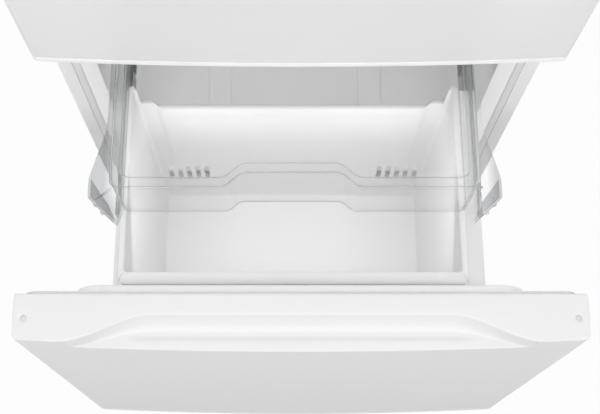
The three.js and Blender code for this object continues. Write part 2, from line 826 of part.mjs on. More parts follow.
function controlHousing() {
  const back = housingFront + housingDeep;
  const hole = switchSize / 2 + fit;
  return cut(
    block([-housingHalf, housingHalf], [housingFront, back], [housingBottom, fridgeCeiling - fit]),
    block([-housingHalf + plastic, housingHalf - plastic], [housingFront + plastic, back - plastic],
      [housingBottom + plastic, fridgeCeiling]),
    block([switchX - hole, switchX + hole], [housingFront - past, housingFront + plastic + past],
      [switchZ - hole, switchZ + hole]),
  );
}

function temperatureKnob() {
  const front = housingFront - fit - knobDeep;
  const reach = knobRadius - plastic;
  return join(
    bar('y', knobRadius, [knobX, front, switchZ], knobDeep, roundSides),
    block([knobX - plastic, knobX + plastic], [front - knobGrip, front + past],
      [switchZ - reach, switchZ + reach]),
  );
}

// The plunger that the closed door keeps in reach of its inner panel.
function doorSwitch() {
  const front = doorDykeBack + fit;
  const reach = switchSize / 2;
  return block([switchX - reach, switchX + reach], [front, front + switchLong],
    [switchZ - reach, switchZ + reach]);
}

function lightLens() {
  const top = housingBottom - fit;
  const front = housingFront + lensSet;
  return cut(
    block([lensX - lensHalf, lensX + lensHalf], [front, front + lensDeep], [top - lensHigh, top]),
    block([lensX - lensHalf + lensWall, lensX + lensHalf - lensWall],
      [front + lensWall, front + lensDeep - lensWall], [top - lensHigh + lensWall, top + past]),
  );
}

// ---- Doors ------------------------------------------------------------------------------------

const frontAt = (x) => doorFront - crown * (1 - (x / half) ** 2);

// Plan of a door slab: shallow arc in front, round vertical edges, straight back.
function slabPlan(inset, back = doorBack) {
  const reach = half - edgeRound;
  const round = edgeRound - inset;
  const centreY = frontAt(reach) + edgeRound;
  const arc = count(crownSteps - 1, (i) => {
    const x = -reach + 2 * reach * (i + 1) / crownSteps;
    return [x, frontAt(x) + inset];
  });
  return [
    [-half + inset, back],
    ...corner(-reach, centreY, round, 180, 270),
    ...arc,
    ...corner(reach, centreY, round, 270, 360),
    [half - inset, back],
  ];
}

// Steel wrapped round a door's front and sides, open at the back.
const wrap = (low, high) => cut(raised(slabPlan(0), low, high),
  raised(slabPlan(sheet, doorBack + past), low - past, high + past));

const filling = (low, high) => raised(slabPlan(sheet + fit, doorBack - plastic - fit), low, high);

const innerSheet = (low, high) => block([-innerHalf, innerHalf], [doorBack - plastic, doorBack], [low, high]);

const endCap = (low) => raised(slabPlan(0), low, low + capThick);

// A rectangular ring in front view: outer half width and heights, drawn back from front to back.
function ring(outer, low, high, wide, front, back) {
  return cut(block([-outer, outer], [front, back], [low, high]),
    block([-outer + wide, outer - wide], [front - past, back + past], [low + wide, high - wide]));
}

const gasket = (low, high) => ring(half - gasketInset, low + gasketEndInset, high - gasketEndInset,
  gasketWide, doorBack + fit, -2 * fit);

const pinHole = (low, high) => bar('z', pinRadius + pinClearance, [hingeX, hingeY, low], high - low);

function doorHandle() {
  const middle = handleInset - half;
  const skin = frontAt(middle) - 2 * fit;
  const grip = skin - handleStand;
  const front = grip - handleThick;
  const low = doorBottom + handleAt;
  const high = doorTop - handleDrop;
  return across([
    [skin, low], [skin, low + handleFoot - handleSlope], [grip, low + handleFoot + handleSlope],
    [grip, high - handleFoot - handleSlope], [skin, high - handleFoot + handleSlope], [skin, high],
    [skin - handleToe, high], [front, high - handleFoot], [front, low + handleFoot], [skin - handleToe, low],
  ], middle - handleWide / 2, middle + handleWide / 2);
}

function doorBin(low) {
  const wide = doorDykeHalf - doorDykeWall - fit;
  const front = doorBack + fit;
  const back = front + binDeep;
  return cut(block([-wide, wide], [front, back], [low, low + binTall]),
    block([-wide + plastic, wide - plastic], [front + plastic, back - plastic],
      [low + plastic, low + binTall + past]));
}

function topHinge() {
  const low = cabinetTop + fit;
  const pinEndZ = doorTop - pinLength;
  const plate = block([hingeX - hingeInner, hingeX + hingeOuter], [hingeY - hingeNose, hingeTail],
    [low, low + hingePlate]);
  return join(plate, bar('z', pinRadius, [hingeX, hingeY, pinEndZ], low + past - pinEndZ));
}

function topHingeCover() {
  const low = cabinetTop + fit;
  const high = cabinetTop + coverHigh;
  const nose = hingeY - hingeNose - plastic - fit;
  const side = [
    [nose, low], [coverTail, low], [coverTail, high - coverRise], [coverTail - 2 * coverRise, high],
    [nose + coverRise, high], [nose, high - coverRise / 2],
  ];
  const room = block([hingeX - hingeInner - fit, hingeX + hingeOuter + fit],
    [hingeY - hingeNose - fit, hingeTail + fit], [low - past, low + hingePlate + fit]);
  return cut(across(side, hingeX - hingeInner - plastic, hingeX + hingeOuter + plastic), room);
}

function centerHinge() {
  const middle = (drawerTop + doorBottom) / 2;
  const low = middle - hingePlate / 2;
  const xs = [hingeX - hingeInner, hingeX + hingeOuter];
  const plate = block(xs, [hingeY - hingeNose, -fit], [low, low + hingePlate]);
  const tab = block(xs, [-hingePlate, -fit], [middle - hingeTab, middle + hingeTab]);
  return join(plate, tab, bar('z', pinRadius, [hingeX, hingeY, low], doorBottom + pinLength - low));
}

function addFridgeDoor(group) {
  const low = doorBottom + capThick + fit;
  const high = doorTop - capThick - fit;
  const dyke = ring(doorDykeHalf, fridgeFloor + doorDykeEndGap, fridgeCeiling - doorDykeEndGap,
    doorDykeWall, doorBack - past, doorDykeBack);
  const topHole = pinHole(doorTop - pinLength - pinEnd, doorTop + past);
  const bottomHole = pinHole(doorBottom - past, doorBottom + pinLength + pinEnd);
  place(group, 'door_skin', wrap(low, high), enamel);
  place(group, 'door_foam', filling(low, high), foam);
  place(group, 'door_top_cap', cut(endCap(doorTop - capThick), topHole), whitePlastic);
  place(group, 'door_bottom_cap', cut(endCap(doorBottom), bottomHole), whitePlastic);
  place(group, 'door_liner', join(innerSheet(low, high), dyke), linerPlastic);
  place(group, 'door_gasket', gasket(doorBottom, doorTop), rubber);
  place(group, 'door_handle', doorHandle(), whitePlastic);
  place(group, 'door_bin_upper', doorBin(fridgeCeiling - upperBinDrop), clearPlastic);
  place(group, 'door_bin_lower', doorBin(fridgeFloor + lowerBinAt), clearPlastic);
}

// ---- Freezer drawer ---------------------------------------------------------------------------

// Plan of the finger grip: straight along its back, curving out to the front at both ends.
function scoopPlan() {
  const start = frontAt(scoopHalf);
  const deepest = doorFront + scoopBack;
  const ahead = doorFront - 2 * crown;
  const run = (side) => count(scoopSteps + 1, (i) => {
    const t = i / scoopSteps;
    return [side * (scoopHalf + (scoopStraight - scoopHalf) * t), start + (deepest - start) * smooth(t)];
  });
  return [[-scoopHalf, ahead], ...run(-1), ...run(1).reverse(), [scoopHalf, ahead]];
}

// The hollow of the finger grip: a leaning back wall, a trough, and a flat lip in front.
function scoopSpace() {
  const back = doorFront + scoopBack;
  const foot = back - scoopLean;
  const front = doorFront - 2 * crown;
  const lipBack = doorFront - crown + lipWide;
  const bottom = drawerTop - troughDrop;
  const upper = across([[front, lipLevel], [foot, lipLevel], [back, drawerTop], [back, drawerTop + past],
    [front, drawerTop + past]], -half, half);
  const trough = across([
    [lipBack, lipLevel + past], [lipBack, lipLevel], [lipBack + troughSlope, bottom + troughSlope],
    [lipBack + 2 * troughSlope, bottom], [foot - troughSlope, bottom], [foot, lipLevel],
    [foot, lipLevel + past],
  ], -troughHalf, troughHalf);
  return join(upper, trough).intersect(raised(scoopPlan(), bottom - past, drawerTop + 2 * past));
}

function drawerTopCap() {
  const lid = raised(slabPlan(0), drawerTop - capLid, drawerTop);
  const body = raised(slabPlan(sheet + fit), capBottom, drawerTop - fit);
  const noseBottom = lipLevel - capLid;
  const nose = raised(slabPlan(0), noseBottom, drawerTop).intersect(
    block([-lipHalf + fit, lipHalf - fit], [doorFront - crown, doorBack], [noseBottom, drawerTop]));
  return cut(join(lid, body, nose), scoopSpace());
}

function drawerSkin() {
  const high = drawerTop - capLid - fit;
  const notch = block([-lipHalf, lipHalf], [doorFront - 2 * crown, doorBack + past],
    [lipLevel - capLid - fit, high + past]);
  return cut(wrap(drawerFillBottom, high), notch);
}

// The inner panel's raised field stands free of the top cap, which it covers from behind.
function drawerLiner() {
  const seam = capBottom - fit;
  const wide = roomHalf - dykeSideGap;
  const low = freezerFloor + dykeBottomGap;
  const high = freezerCeiling - dykeTopGap;
  const field = block([-wide, wide], [doorBack - past, dykeBack], [low, seam]);
  const overCap = block([-wide, wide], [doorBack + fit, dykeBack], [seam - past, high]);
  const hollow = block([-wide + plastic, wide - plastic], [doorBack - plastic - past, dykeBack - plastic],
    [low + plastic, seam - plastic]);
  return cut(join(innerSheet(drawerFillBottom, seam), field, overCap), hollow);
}

// The basket's body, grown by its wall; its sides and ends lean in and its bottom edges are round.
function basketProfile(grow, over) {
  const top = basketRim + over;
  const low = basketFloor - grow;
  const topHalf = basketHalf + grow;
  const lowHalf = topHalf - basketTaper;
  const round = basketFillet + grow;
  const near = basketFront + rimWide - grow;
  const far = basketBack - rimWide + grow;
  const front = deep([
    [storageShift - topHalf, top],
    ...corner(storageShift - lowHalf + round, low + round, round, 180, 270),
    ...corner(storageShift + lowHalf - round, low + round, round, 270, 360),
    [storageShift + topHalf, top],
  ], basketFront, basketBack);
  const side = across([[near, top], [near + basketFrontLean, low], [far - basketBackLean, low], [far, top]],
    -half, half);
  return front.intersect(side);
}

function lowerBasket() {
  const wide = basketHalf + rimWide;
  const rim = cut(
    block([storageShift - wide, storageShift + wide], [basketFront, basketBack],
      [basketRim - rimHigh, basketRim]),
    block([storageShift - backDipHalf, storageShift + backDipHalf],
      [basketBack - rimWide, basketBack + past], [basketRim - rimHigh - past, basketRim + past]),
  );
  const level = basketRim - backDip;
  const lowHalf = backDipHalf - backDipSlope;
  const behind = basketBack - basketBackLean - rimWide;
  const dip = deep([
    [storageShift - backDipHalf, basketRim + past], [storageShift - lowHalf, level],
    [storageShift + lowHalf, level], [storageShift + backDipHalf, basketRim + past],
  ], behind, basketBack + past);
  const slotLow = basketFloor + slotLift;
  const slots = bothSides((side) => count(slotCount, (i) => {
    const edge = slotFirst + i * slotPitch;
    return block([storageShift + side * edge, storageShift + side * (edge + slotWide)],
      [behind - 2 * rimWide, basketBack + past], [slotLow, slotLow + slotTall]);
  }));
  return cut(join(basketProfile(plastic, 0), rim), basketProfile(0, past), dip, ...slots);
}

// A folded steel arm: a plate that carries the basket's rim, and a web that carries the slide.
function drawerRail(side) {
  const webFace = railOuter - slidePack;
  const basketSide = basketHalf + plastic + fit + side * storageShift;
  const plate = block([side * basketSide, side * railOuter], [railFront, railBack],
    [railTop - railPlate, railTop]);
  const web = block([side * (webFace - railWeb), side * webFace], [railFront, railBack],
    [slideTop - slideHigh, railTop - past]);
  return join(plate, web);
}

// ---- Slides -----------------------------------------------------------------------------------

// One channel-shaped member: a web at webX, and two flanges that run from it to flangeX.
function channel(side, webX, flangeX, inset) {
  const low = slideTop - slideHigh + inset;
  const high = slideTop - inset;
  const ys = [slideFront, slideBack];
  const web = block([side * webX, side * (webX + Math.sign(flangeX - webX) * slideWall)], ys, [low, high]);
  const flanges = [[low, low + slideWall], [high - slideWall, high]].map((zs) => block(
    [side * webX, side * flangeX], ys, zs));
  return join(web, ...flanges);
}

const slideInner = (side) => channel(side, slideFace, slideFace + innerFlange, 2 * slideStep);
const slideMiddle = (side) => channel(side, railOuter - slideStep, slideFace + middleReach, slideStep);

function slideOuter(side) {
  const member = channel(side, railOuter, slideFace + outerReach, 0);
  const low = slideTop - (slideHigh + bracketHigh) / 2;
  const ys = [slideFront + bracketInset, slideBack - bracketInset];
  const wall = roomHalf - fit;
  const arm = block([side * (railOuter - slideWall / 2), side * wall], ys, [low, low + bracketThick]);
  const foot = block([side * (wall - bracketThick), side * wall], ys, [low, low + bracketHigh]);
  return join(member, arm, foot);
}

// ---- Upper tray -------------------------------------------------------------------------------

// Plan of the tray's walls, with the hand recess in the front.
function trayPlan(inset) {
  const wide = trayHalf - inset;
  const front = trayFront + inset;
  const recess = front + recessDeep;
  const back = trayBack - inset;
  return [
    [trayShift - wide, back], [trayShift - wide, front],
    [trayShift - recessHalf - recessRamp, front], [trayShift - recessHalf, recess],
    [trayShift + recessHalf, recess], [trayShift + recessHalf + recessRamp, front],
    [trayShift + wide, front], [trayShift + wide, back],
  ];
}

// The ear beside the front: the side flange flares out, then drops to the rail as a web.
function trayEar(side) {
  const x = (distance) => trayShift + side * distance;
  const land = trayFront + earLand;
  const tip = trayFront - earReach;
  const wall = trayHalf - past;
  const flap = raised([
    [x(wall), trayFront + earFlare], [x(trayHalf + sideFlange), trayFront + earFlare],
    [x(earHalf), land], [x(earHalf), tip + earTip], [x(earHalf - earTip), tip],
    [x(trayHalf + sideFlange), tip + earHook], [x(wall), trayFront + plastic],
  ], trayRim - plastic, trayRim);
  const web = raised([
    [x(earHalf - earWall), land], [x(earHalf), land], [x(earHalf), tip + earTip], [x(earHalf - earTip), tip],
    [x(earHalf - earTip - earWall), tip + earWall], [x(earHalf - earWall), tip + earHook],
  ], trayFloor, trayRim - past);
  return join(flap, web);
}

// What slides on the rail: a runner under each side, with a foot that also carries the ear.
function trayRunner(side) {
  const top = trayFloor + runnerRise;
  const ys = [trayFront, trayBack];
  const tip = trayFront - earReach;
  const inner = runnerHalf - runnerWall;
  return join(
    block([side * runnerHalf, side * inner], ys, [railTop + fit, top]),
    block([side * runnerHalf, trayShift + side * (trayHalf - past)], ys, [top - plastic, top]),
    block([side * inner, side * runnerHalf], [tip + earHook, trayFront + past], [trayFloor, top]),
    block([side * (runnerHalf - past), trayShift + side * (earHalf - past)],
      [tip + earHook, trayFront + earLand], [trayFloor, trayFloor + plastic]),
  );
}

function upperTray() {
  const walls = cut(raised(trayPlan(0), trayFloor, trayRim),
    raised(trayPlan(plastic), trayFloor + plastic, trayRim + past));
  const rim = cut(raised(trayPlan(0), trayRim - plastic, trayRim),
    raised(trayPlan(rimFlange), trayFloor, trayRim + past));
  const flanges = bothSides((side) => block(
    [trayShift + side * (trayHalf - past), trayShift + side * (trayHalf + sideFlange)],
    [trayFront + earFlare - past, trayBack], [trayRim - plastic, trayRim]));
  return join(walls, rim, ...flanges, ...bothSides(trayRunner), ...bothSides(trayEar));
}

// ---- Assembly ---------------------------------------------------------------------------------

const model = new THREE.Group();
const cabinet = new THREE.Group();
const freezerDrawer = new THREE.Group();
const slideMembers = new THREE.Group();
const fridgeDoor = new THREE.Group();
model.add(cabinet);
cabinet.add(freezerDrawer, slideMembers, fridgeDoor);
cabinet.position.y = -originY;
freezerDrawer.position.y = -drawerTravel;
slideMembers.position.y = -drawerTravel / 2;

place(cabinet, 'cabinet_shell', cabinetShell(), enamel);
place(cabinet, 'back_panel', backPanel(), zinc);
place(cabinet, 'insulation_foam', insulation(), foam);
place(cabinet, 'fridge_liner', fridgeLiner(), linerPlastic);
place(cabinet, 'freezer_liner', freezerLiner(), linerPlastic);
place(cabinet, 'mullion_rail', mullionSpace(0), whiteSteel);
place(cabinet, 'base_frame', baseFrame(), zinc);
place(cabinet, 'toe_grille', toeGrille(), whitePlastic);
place(cabinet, 'rear_access_cover', rearCover(), zinc);
place(cabinet, 'compressor', compressor(), black);
place(cabinet, 'condenser_coil', condenserCoil(), copper);
place(cabinet, 'condenser_fan_motor', condenserFanMotor(), zinc);
place(cabinet, 'condenser_fan_blade', fanBlades(machineFanX, machineFanY, machineFanZ), black);
place(cabinet, 'drain_pan', drainPan(), black);
place(cabinet, 'evaporator_coil', evaporatorCoil(), zinc);
place(cabinet, 'evaporator_cover', evaporatorCover(), linerPlastic);
place(cabinet, 'evaporator_fan_motor', evaporatorFanMotor(), zinc);
place(cabinet, 'evaporator_fan_blade', fanBlades(0, evaporatorFanFront, fanZ), black);
place(cabinet, 'air_duct', airDuct(), linerPlastic);
place(cabinet, 'shelf_upper', glassShelf(upperShelfTop), glass);
place(cabinet, 'shelf_lower', glassShelf(lowerShelfTop), glass);
place(cabinet, 'crisper_cover', glassShelf(crisperCoverTop), glass);
place(cabinet, 'control_housing', controlHousing(), whitePlastic);
place(cabinet, 'temperature_knob', temperatureKnob(), greyPlastic);
place(cabinet, 'door_switch', doorSwitch(), greyPlastic);
place(cabinet, 'light_lens', lightLens(), clearPlastic);
place(cabinet, 'top_hinge', topHinge(), zinc);
place(cabinet, 'top_hinge_cover', topHingeCover(), whitePlastic);
place(cabinet, 'center_hinge', centerHinge(), zinc);

for (const [side, word] of [[-1, 'left'], [1, 'right']]) {
  place(cabinet, `crisper_${word}`, crisper(side), clearPlastic);
  place(cabinet, `levelling_leg_${word}`, levellingLeg(side), black);
  place(cabinet, `rear_roller_${word}`, rearRoller(side), black);
  place(cabinet, `slide_outer_${word}`, slideOuter(side), zinc);
  place(slideMembers, `slide_middle_${word}`, slideMiddle(side), zinc);
  place(freezerDrawer, `slide_inner_${word}`, slideInner(side), zinc);
  place(freezerDrawer, `drawer_rail_${word}`, drawerRail(side), whiteSteel);
}

addFridgeDoor(fridgeDoor);

place(freezerDrawer, 'drawer_skin', drawerSkin(), enamel);
place(freezerDrawer, 'drawer_top_cap', drawerTopCap(), whitePlastic);
place(freezerDrawer, 'drawer_bottom_cap', endCap(drawerBottom), whitePlastic);
place(freezerDrawer, 'drawer_foam', filling(drawerFillBottom, capBottom - fit), foam);
place(freezerDrawer, 'drawer_liner', drawerLiner(), linerPlastic);
place(freezerDrawer, 'drawer_gasket', gasket(drawerBottom, drawerTop), rubber);
place(freezerDrawer, 'lower_basket', lowerBasket(), whitePlastic);
place(freezerDrawer, 'upper_tray', upperTray(), clearPlastic);

export default model;
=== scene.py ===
# %% [markdown]
# # A bottom freezer refrigerator, drawer out
#
# The refrigerator stands with its drawer pulled out and is seen from above. Its solids and joints
# come from a frame that is already at its real size. This script gives each of them its finished
# surface: rounded plastic, enamelled steel, clear trays.

# %% Load the frame
import json
import math

import bmesh
import bpy
from mathutils import Matrix, Vector

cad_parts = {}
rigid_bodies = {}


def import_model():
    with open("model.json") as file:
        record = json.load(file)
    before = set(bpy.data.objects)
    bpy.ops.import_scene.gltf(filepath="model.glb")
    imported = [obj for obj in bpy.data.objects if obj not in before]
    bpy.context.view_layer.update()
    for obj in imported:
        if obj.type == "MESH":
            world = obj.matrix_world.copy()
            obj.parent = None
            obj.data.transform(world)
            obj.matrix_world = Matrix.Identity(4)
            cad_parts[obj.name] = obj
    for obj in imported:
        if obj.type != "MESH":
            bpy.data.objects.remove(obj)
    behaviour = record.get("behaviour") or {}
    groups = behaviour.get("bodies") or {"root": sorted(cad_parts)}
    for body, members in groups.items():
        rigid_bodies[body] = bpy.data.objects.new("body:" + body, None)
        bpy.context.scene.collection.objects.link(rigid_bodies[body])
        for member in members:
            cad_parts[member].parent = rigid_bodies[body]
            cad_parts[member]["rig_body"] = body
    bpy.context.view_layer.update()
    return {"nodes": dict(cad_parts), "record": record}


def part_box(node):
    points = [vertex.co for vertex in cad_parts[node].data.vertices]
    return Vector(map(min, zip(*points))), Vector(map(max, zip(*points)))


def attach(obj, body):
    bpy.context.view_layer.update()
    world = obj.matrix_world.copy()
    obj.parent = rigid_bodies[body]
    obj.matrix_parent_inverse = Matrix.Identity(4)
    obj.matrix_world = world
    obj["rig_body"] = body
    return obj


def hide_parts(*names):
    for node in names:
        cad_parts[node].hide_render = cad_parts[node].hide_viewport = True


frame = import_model()
SIDES = ((-1, "left"), (1, "right"))


def placed(name, data):
    """An object in the scene that holds some data."""
    made = bpy.data.objects.new(name, data)
    bpy.context.scene.collection.objects.link(made)
    return made


# %% [markdown]
# ## Camera
#
# A photographer leaned over the open drawer: the camera is 2 m up and looks steeply down. The
# picture was cut out a little off its middle. A small lens shift repeats that, because it moves the
# picture without turning the camera.

# %% Camera
PHOTO_WIDTH = 600
FOCAL_PIXELS = 1010
AXIS_PIXEL = 285          # where the lens's axis meets the picture, from the left
LOOK_DOWN = 71.2          # degrees below the horizon
CAMERA_AT = (-0.021, -0.83115, 2.0355)

camera_data = bpy.data.cameras.new("camera")
camera_data.lens = FOCAL_PIXELS / PHOTO_WIDTH * camera_data.sensor_width
camera_data.shift_x = (PHOTO_WIDTH / 2 - AXIS_PIXEL) / PHOTO_WIDTH
camera = placed("camera", camera_data)
camera.location = CAMERA_AT
camera.rotation_euler = (math.radians(90 - LOOK_DOWN), 0, 0)
bpy.context.scene.camera = camera

# %% [markdown]
# ## Nodes and colours
#
# Materials are small graphs. One function adds a node with its settings and links, so that each
# material reads as a short list. Colours are written as sRGB hex, as a paint chart gives them, and
# turned to the linear values that the renderer works in.


# %% Node and colour helpers
def linear(code):
    """An sRGB hex colour as linear red, green, blue and a full alpha."""
    shares = [int(code[i : i + 2], 16) / 255 for i in (1, 3, 5)]
    return (*(s / 12.92 if s <= 0.04045 else ((s + 0.055) / 1.055) ** 2.4 for s in shares), 1)


def add(tree, kind, settings=None, links=None):
    """Adds a node; a setting is an input if the node has one by that name or number."""
    made = tree.nodes.new("ShaderNode" + kind)
    for key, value in (settings or {}).items():
        if isinstance(key, int) or key in made.inputs:
            made.inputs[key].default_value = value
        else:
            setattr(made, key, value)
    for key, source in (links or {}).items():
        tree.links.new(source, made.inputs[key])
    return made


def new_tree(name):
    """A material with an empty graph, and that graph."""
    material = bpy.data.materials.new(name)
    material.use_nodes = True
    material.node_tree.nodes.clear()
    return material, material.node_tree


# %% [markdown]
# ## Plain surfaces with a grain
#
# Enamel, moulded plastic and rolled metal share one build: a colour that drifts over a hand's
# width, a gloss that varies over a finger's width, and a fine relief, which the eye reads as orange
# peel on enamel or as spark texture on plastic. Object coordinates are metres, so a pattern's scale
# is 1000 over its size in millimetres. The real grain is near 0.5 mm, too fine for this picture, so
# it is drawn some times as coarse, and lower.


# %% A grained surface
def grained(name, tones, drift, gloss, grain, relief, shader=None):
    """tones: two hex colours; gloss: two roughness values; drift, grain and relief: millimetres."""
    material, tree = new_tree(name)
    place = add(tree, "TexCoord").outputs["Object"]
    wide, near, fine = (
        add(tree, "TexNoise", {"Scale": scale, "Detail": detail}, {"Vector": place}).outputs["Fac"]
        for scale, detail in ((1000 / drift, 3.0), (5000 / drift, 4.0), (1000 / grain, 1.0)))
    tone = add(tree, "Mix", {"data_type": "RGBA", 6: linear(tones[0]), 7: linear(tones[1])}, {0: wide})
    rough = add(tree, "MapRange", {"To Min": gloss[0], "To Max": gloss[1]}, {"Value": near})
    bump = add(tree, "Bump", {"Distance": relief / 1000}, {"Height": fine})
    surface = add(tree, "BsdfPrincipled", shader, {
        "Base Color": tone.outputs[2],
        "Roughness": rough.outputs["Result"],
        "Normal": bump.outputs["Normal"],
    })
    add(tree, "OutputMaterial", {}, {"Surface": surface.outputs["BSDF"]})
    return material


METAL = {"Metallic": 1.0}
FINISHES = {slot: grained(*recipe) for slot, recipe in {
    # Enamel baked on steel: a hard glossy coat with a soft orange peel.
    "enamel": ("baked_enamel", ("#efefef", "#f1f1f1"), 160, (0.32, 0.42), 9, 0.01),
    # ABS, injection moulded: a little softer, with a fine spark texture from the mould.
    "white_plastic": ("moulded_abs", ("#f5f5f5", "#f7f7f7"), 120, (0.32, 0.42), 5, 0.01),
    # High-impact polystyrene, drawn hot over a mould: smooth, with slow ripples where it cooled.
    "liner_plastic": ("formed_styrene", ("#f3f3f3", "#f6f6f6"), 140, (0.24, 0.36), 24, 0.03),
    # Soft vinyl, extruded: matt, with a faint drag grain.
    "gasket_rubber": ("extruded_vinyl", ("#e3e3e2", "#e9e9e8"), 60, (0.45, 0.6), 4, 0.02),
    # Powder coat on folded steel: an even satin white with fine pebbles.
    "coated_steel": ("powder_coat", ("#e9e9e9", "#eeeeee"), 90, (0.4, 0.5), 4, 0.015),
    # Polypropylene, moulded black: waxy, with a coarse spark texture.
    "black_plastic": ("black_polypropylene", ("#1c1d1e", "#26272a"), 50, (0.45, 0.6), 3, 0.03),
    # Stoved black paint on the pressed compressor shell.
    "compressor_paint": ("stoved_paint", ("#101112", "#191a1b"), 60, (0.25, 0.4), 5, 0.03),
    # Acetal for small moving controls: mid grey, close to matt.
    "grey_plastic": ("grey_acetal", ("#a3a6a8", "#adb0b2"), 30, (0.35, 0.5), 3, 0.015),
    # Polyurethane foam: a rough buff skin full of small cells.
    "insulation": ("urethane_foam", ("#d8c796", "#e6d8ae"), 30, (0.8, 0.95), 5, 0.5),
    # Drawn copper tube, dulled by handling.
    "tube_copper": ("drawn_copper", ("#8a5238", "#a5654a"), 25, (0.3, 0.5), 4, 0.02, METAL),
    # Rolled aluminium fin stock: bright, with a soft brushed haze.
    "fin_aluminium": ("rolled_aluminium", ("#c3c6c8", "#d2d4d6"), 40, (0.25, 0.4), 4, 0.02, METAL),
}.items()}

# %% [markdown]
# ## Galvanised sheet
#
# Hot-dip zinc freezes in flat crystals a centimetre across, the spangle. Voronoi cells stand for
# the crystals: each cell has its own tone and its own gloss, and nothing else changes.


# %% Galvanised sheet
def galvanised(name, spangle):
    """spangle: the width of a crystal in millimetres."""
    material, tree = new_tree(name)
    place = add(tree, "TexCoord").outputs["Object"]
    cells = add(tree, "TexVoronoi", {"Scale": 1000 / spangle}, {"Vector": place})
    pick = add(tree, "SeparateColor", {}, {"Color": cells.outputs["Color"]}).outputs
    tones = {"data_type": "RGBA", 6: linear("#9a9da0"), 7: linear("#b4b7b9")}
    tone = add(tree, "Mix", tones, {0: pick["Red"]})
    rough = add(tree, "MapRange", {"To Min": 0.32, "To Max": 0.5}, {"Value": pick["Green"]})
    surface = add(tree, "BsdfPrincipled", METAL, {
        "Base Color": tone.outputs[2],
        "Roughness": rough.outputs["Result"],
    })
    add(tree, "OutputMaterial", {}, {"Surface": surface.outputs["BSDF"]})
    return material


FINISHES["zinc_steel"] = galvanised("galvanised_sheet", 9)

# %% [markdown]
# ## Clear plastic and glass
#
# The tray is crystal polystyrene, injection moulded: water clear where the eye looks straight
# through it. Its 2 mm walls move what is behind them by less than a pixel, so the body hardly
# bends light here, and a clear coat with the plastic's own IOR gives the gloss. The grey that a
# clear wall shows where the eye looks along it, and the greyer look of the thick ears, come from
# refraction and reflection. Here they are painted shade: a Layer Weight node turns the tone to grey
# at grazing angles, and the ears get a greyer tone by their place. The rim's beads bend light a
# little more, and their grey tint paints the tray's fine dark lines. Panes of glass are made the
# same way, in a pale green. All of them let a lamp's light through.


# %% Clear walls
GRAZING = 0.72            # how sideways a wall must be seen before it turns grey


def clear(name, tint, edge, ior, wave, relief, thick=None):
    """edge: the painted grey shade at grazing angles; wave and relief: millimetres; thick: the painted
    grey shade of the thick ears, and where it begins and is full, in metres from the middle plane."""
    material, tree = new_tree(name)
    place = add(tree, "TexCoord").outputs["Object"]
    waves = add(tree, "TexNoise", {"Scale": 1000 / wave, "Detail": 1.0}, {"Vector": place})
    bump = add(tree, "Bump", {"Distance": relief / 1000}, {"Height": waves.outputs["Fac"]})
    glance = add(tree, "LayerWeight", {"Blend": 0.5}).outputs["Facing"]
    # Painted shade: the tone turns grey where a wall is seen at a grazing angle, in place of what
    # refraction and reflection show there.
    grazing_shade = add(tree, "MapRange", {"From Min": GRAZING, "From Max": 1.0}, {"Value": glance})
    tones = {"data_type": "RGBA", 6: linear(tint), 7: linear(edge)}
    tone = add(tree, "Mix", tones, {0: grazing_shade.outputs["Result"]})
    if thick:
        # Painted shade: the thick ears get a greyer tone by their place across the tray.
        across = add(tree, "SeparateXYZ", {}, {"Vector": place}).outputs["X"]
        out = add(tree, "Math", {"operation": "ABSOLUTE"}, {0: across}).outputs[0]
        share = add(tree, "MapRange", {"From Min": thick[1], "From Max": thick[2]}, {"Value": out})
        body = add(tree, "Mix", {**tones, 7: linear(thick[0])}, {0: share.outputs["Result"]})
        tree.links.new(body.outputs[2], tone.inputs[6])
    glass = add(tree, "BsdfPrincipled", {
        "Roughness": 0.03, "IOR": ior, "Transmission Weight": 1.0,
        "Coat Weight": 0.3, "Coat Roughness": 0.03, "Coat IOR": 1.5,
    }, {"Base Color": tone.outputs[2], "Normal": bump.outputs["Normal"]})
    film = add(tree, "BsdfTransparent", {"Color": linear(tint)}).outputs["BSDF"]
    path = add(tree, "LightPath").outputs
    lit = add(tree, "MixShader", {}, {0: path["Is Shadow Ray"], 1: glass.outputs["BSDF"], 2: film})
    mixed = add(tree, "MixShader", {}, {0: path["Is Diffuse Ray"], 1: lit.outputs["Shader"], 2: film})
    add(tree, "OutputMaterial", {}, {"Surface": mixed.outputs["Shader"]})
    return material


# The second colour of each clear material is a painted grey shade for grazing angles.
STYRENE = ("#fdfdfd", "#a9adaf", 1.01, 45, 0.1)
FINISHES["clear_plastic"] = clear("crystal_polystyrene", *STYRENE)
# The tray's third colour is the painted grey shade of its thick ears.
TRAY_PLASTIC = clear("tray_polystyrene", *STYRENE, ("#d2d4d5", 0.262, 0.276))
# The beads' grey tint is painted shade: it draws the fine dark lines that refraction shows at the tray's
# edges.
BEAD_LINE_SHADE = clear("polystyrene_bead_line_shade", "#e2e4e5", "#7d8284", 1.2, 45, 0.1)
FINISHES["shelf_glass"] = clear("float_glass", "#f4faf7", "#e2efe9", 1.08, 90, 0.05)

# %% [markdown]
# ## Meshes in millimetres
#
# Every piece is a bmesh that is drawn in millimetres and scaled once, when it becomes an object. A
# skin is the main tool: Blender's grid operator lays the faces, and each row of its points is set
# on one line of the shape, as a sail is laid on its ribs. Seal closes what is left open and turns
# the faces outwards. Ringed does both for rows that are rings, and walled gives an open skin its
# thickness instead.

# %% Mesh helpers
CLOSE = 0.01              # points nearer than this are one point
SMOOTH_ANGLE = math.radians(34)
CAD_SHARP = math.radians(29)


def span(node):
    """A node's lowest and highest corner at rest, in millimetres."""
    low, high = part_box(node)
    return Vector(low) * 1000, Vector(high) * 1000


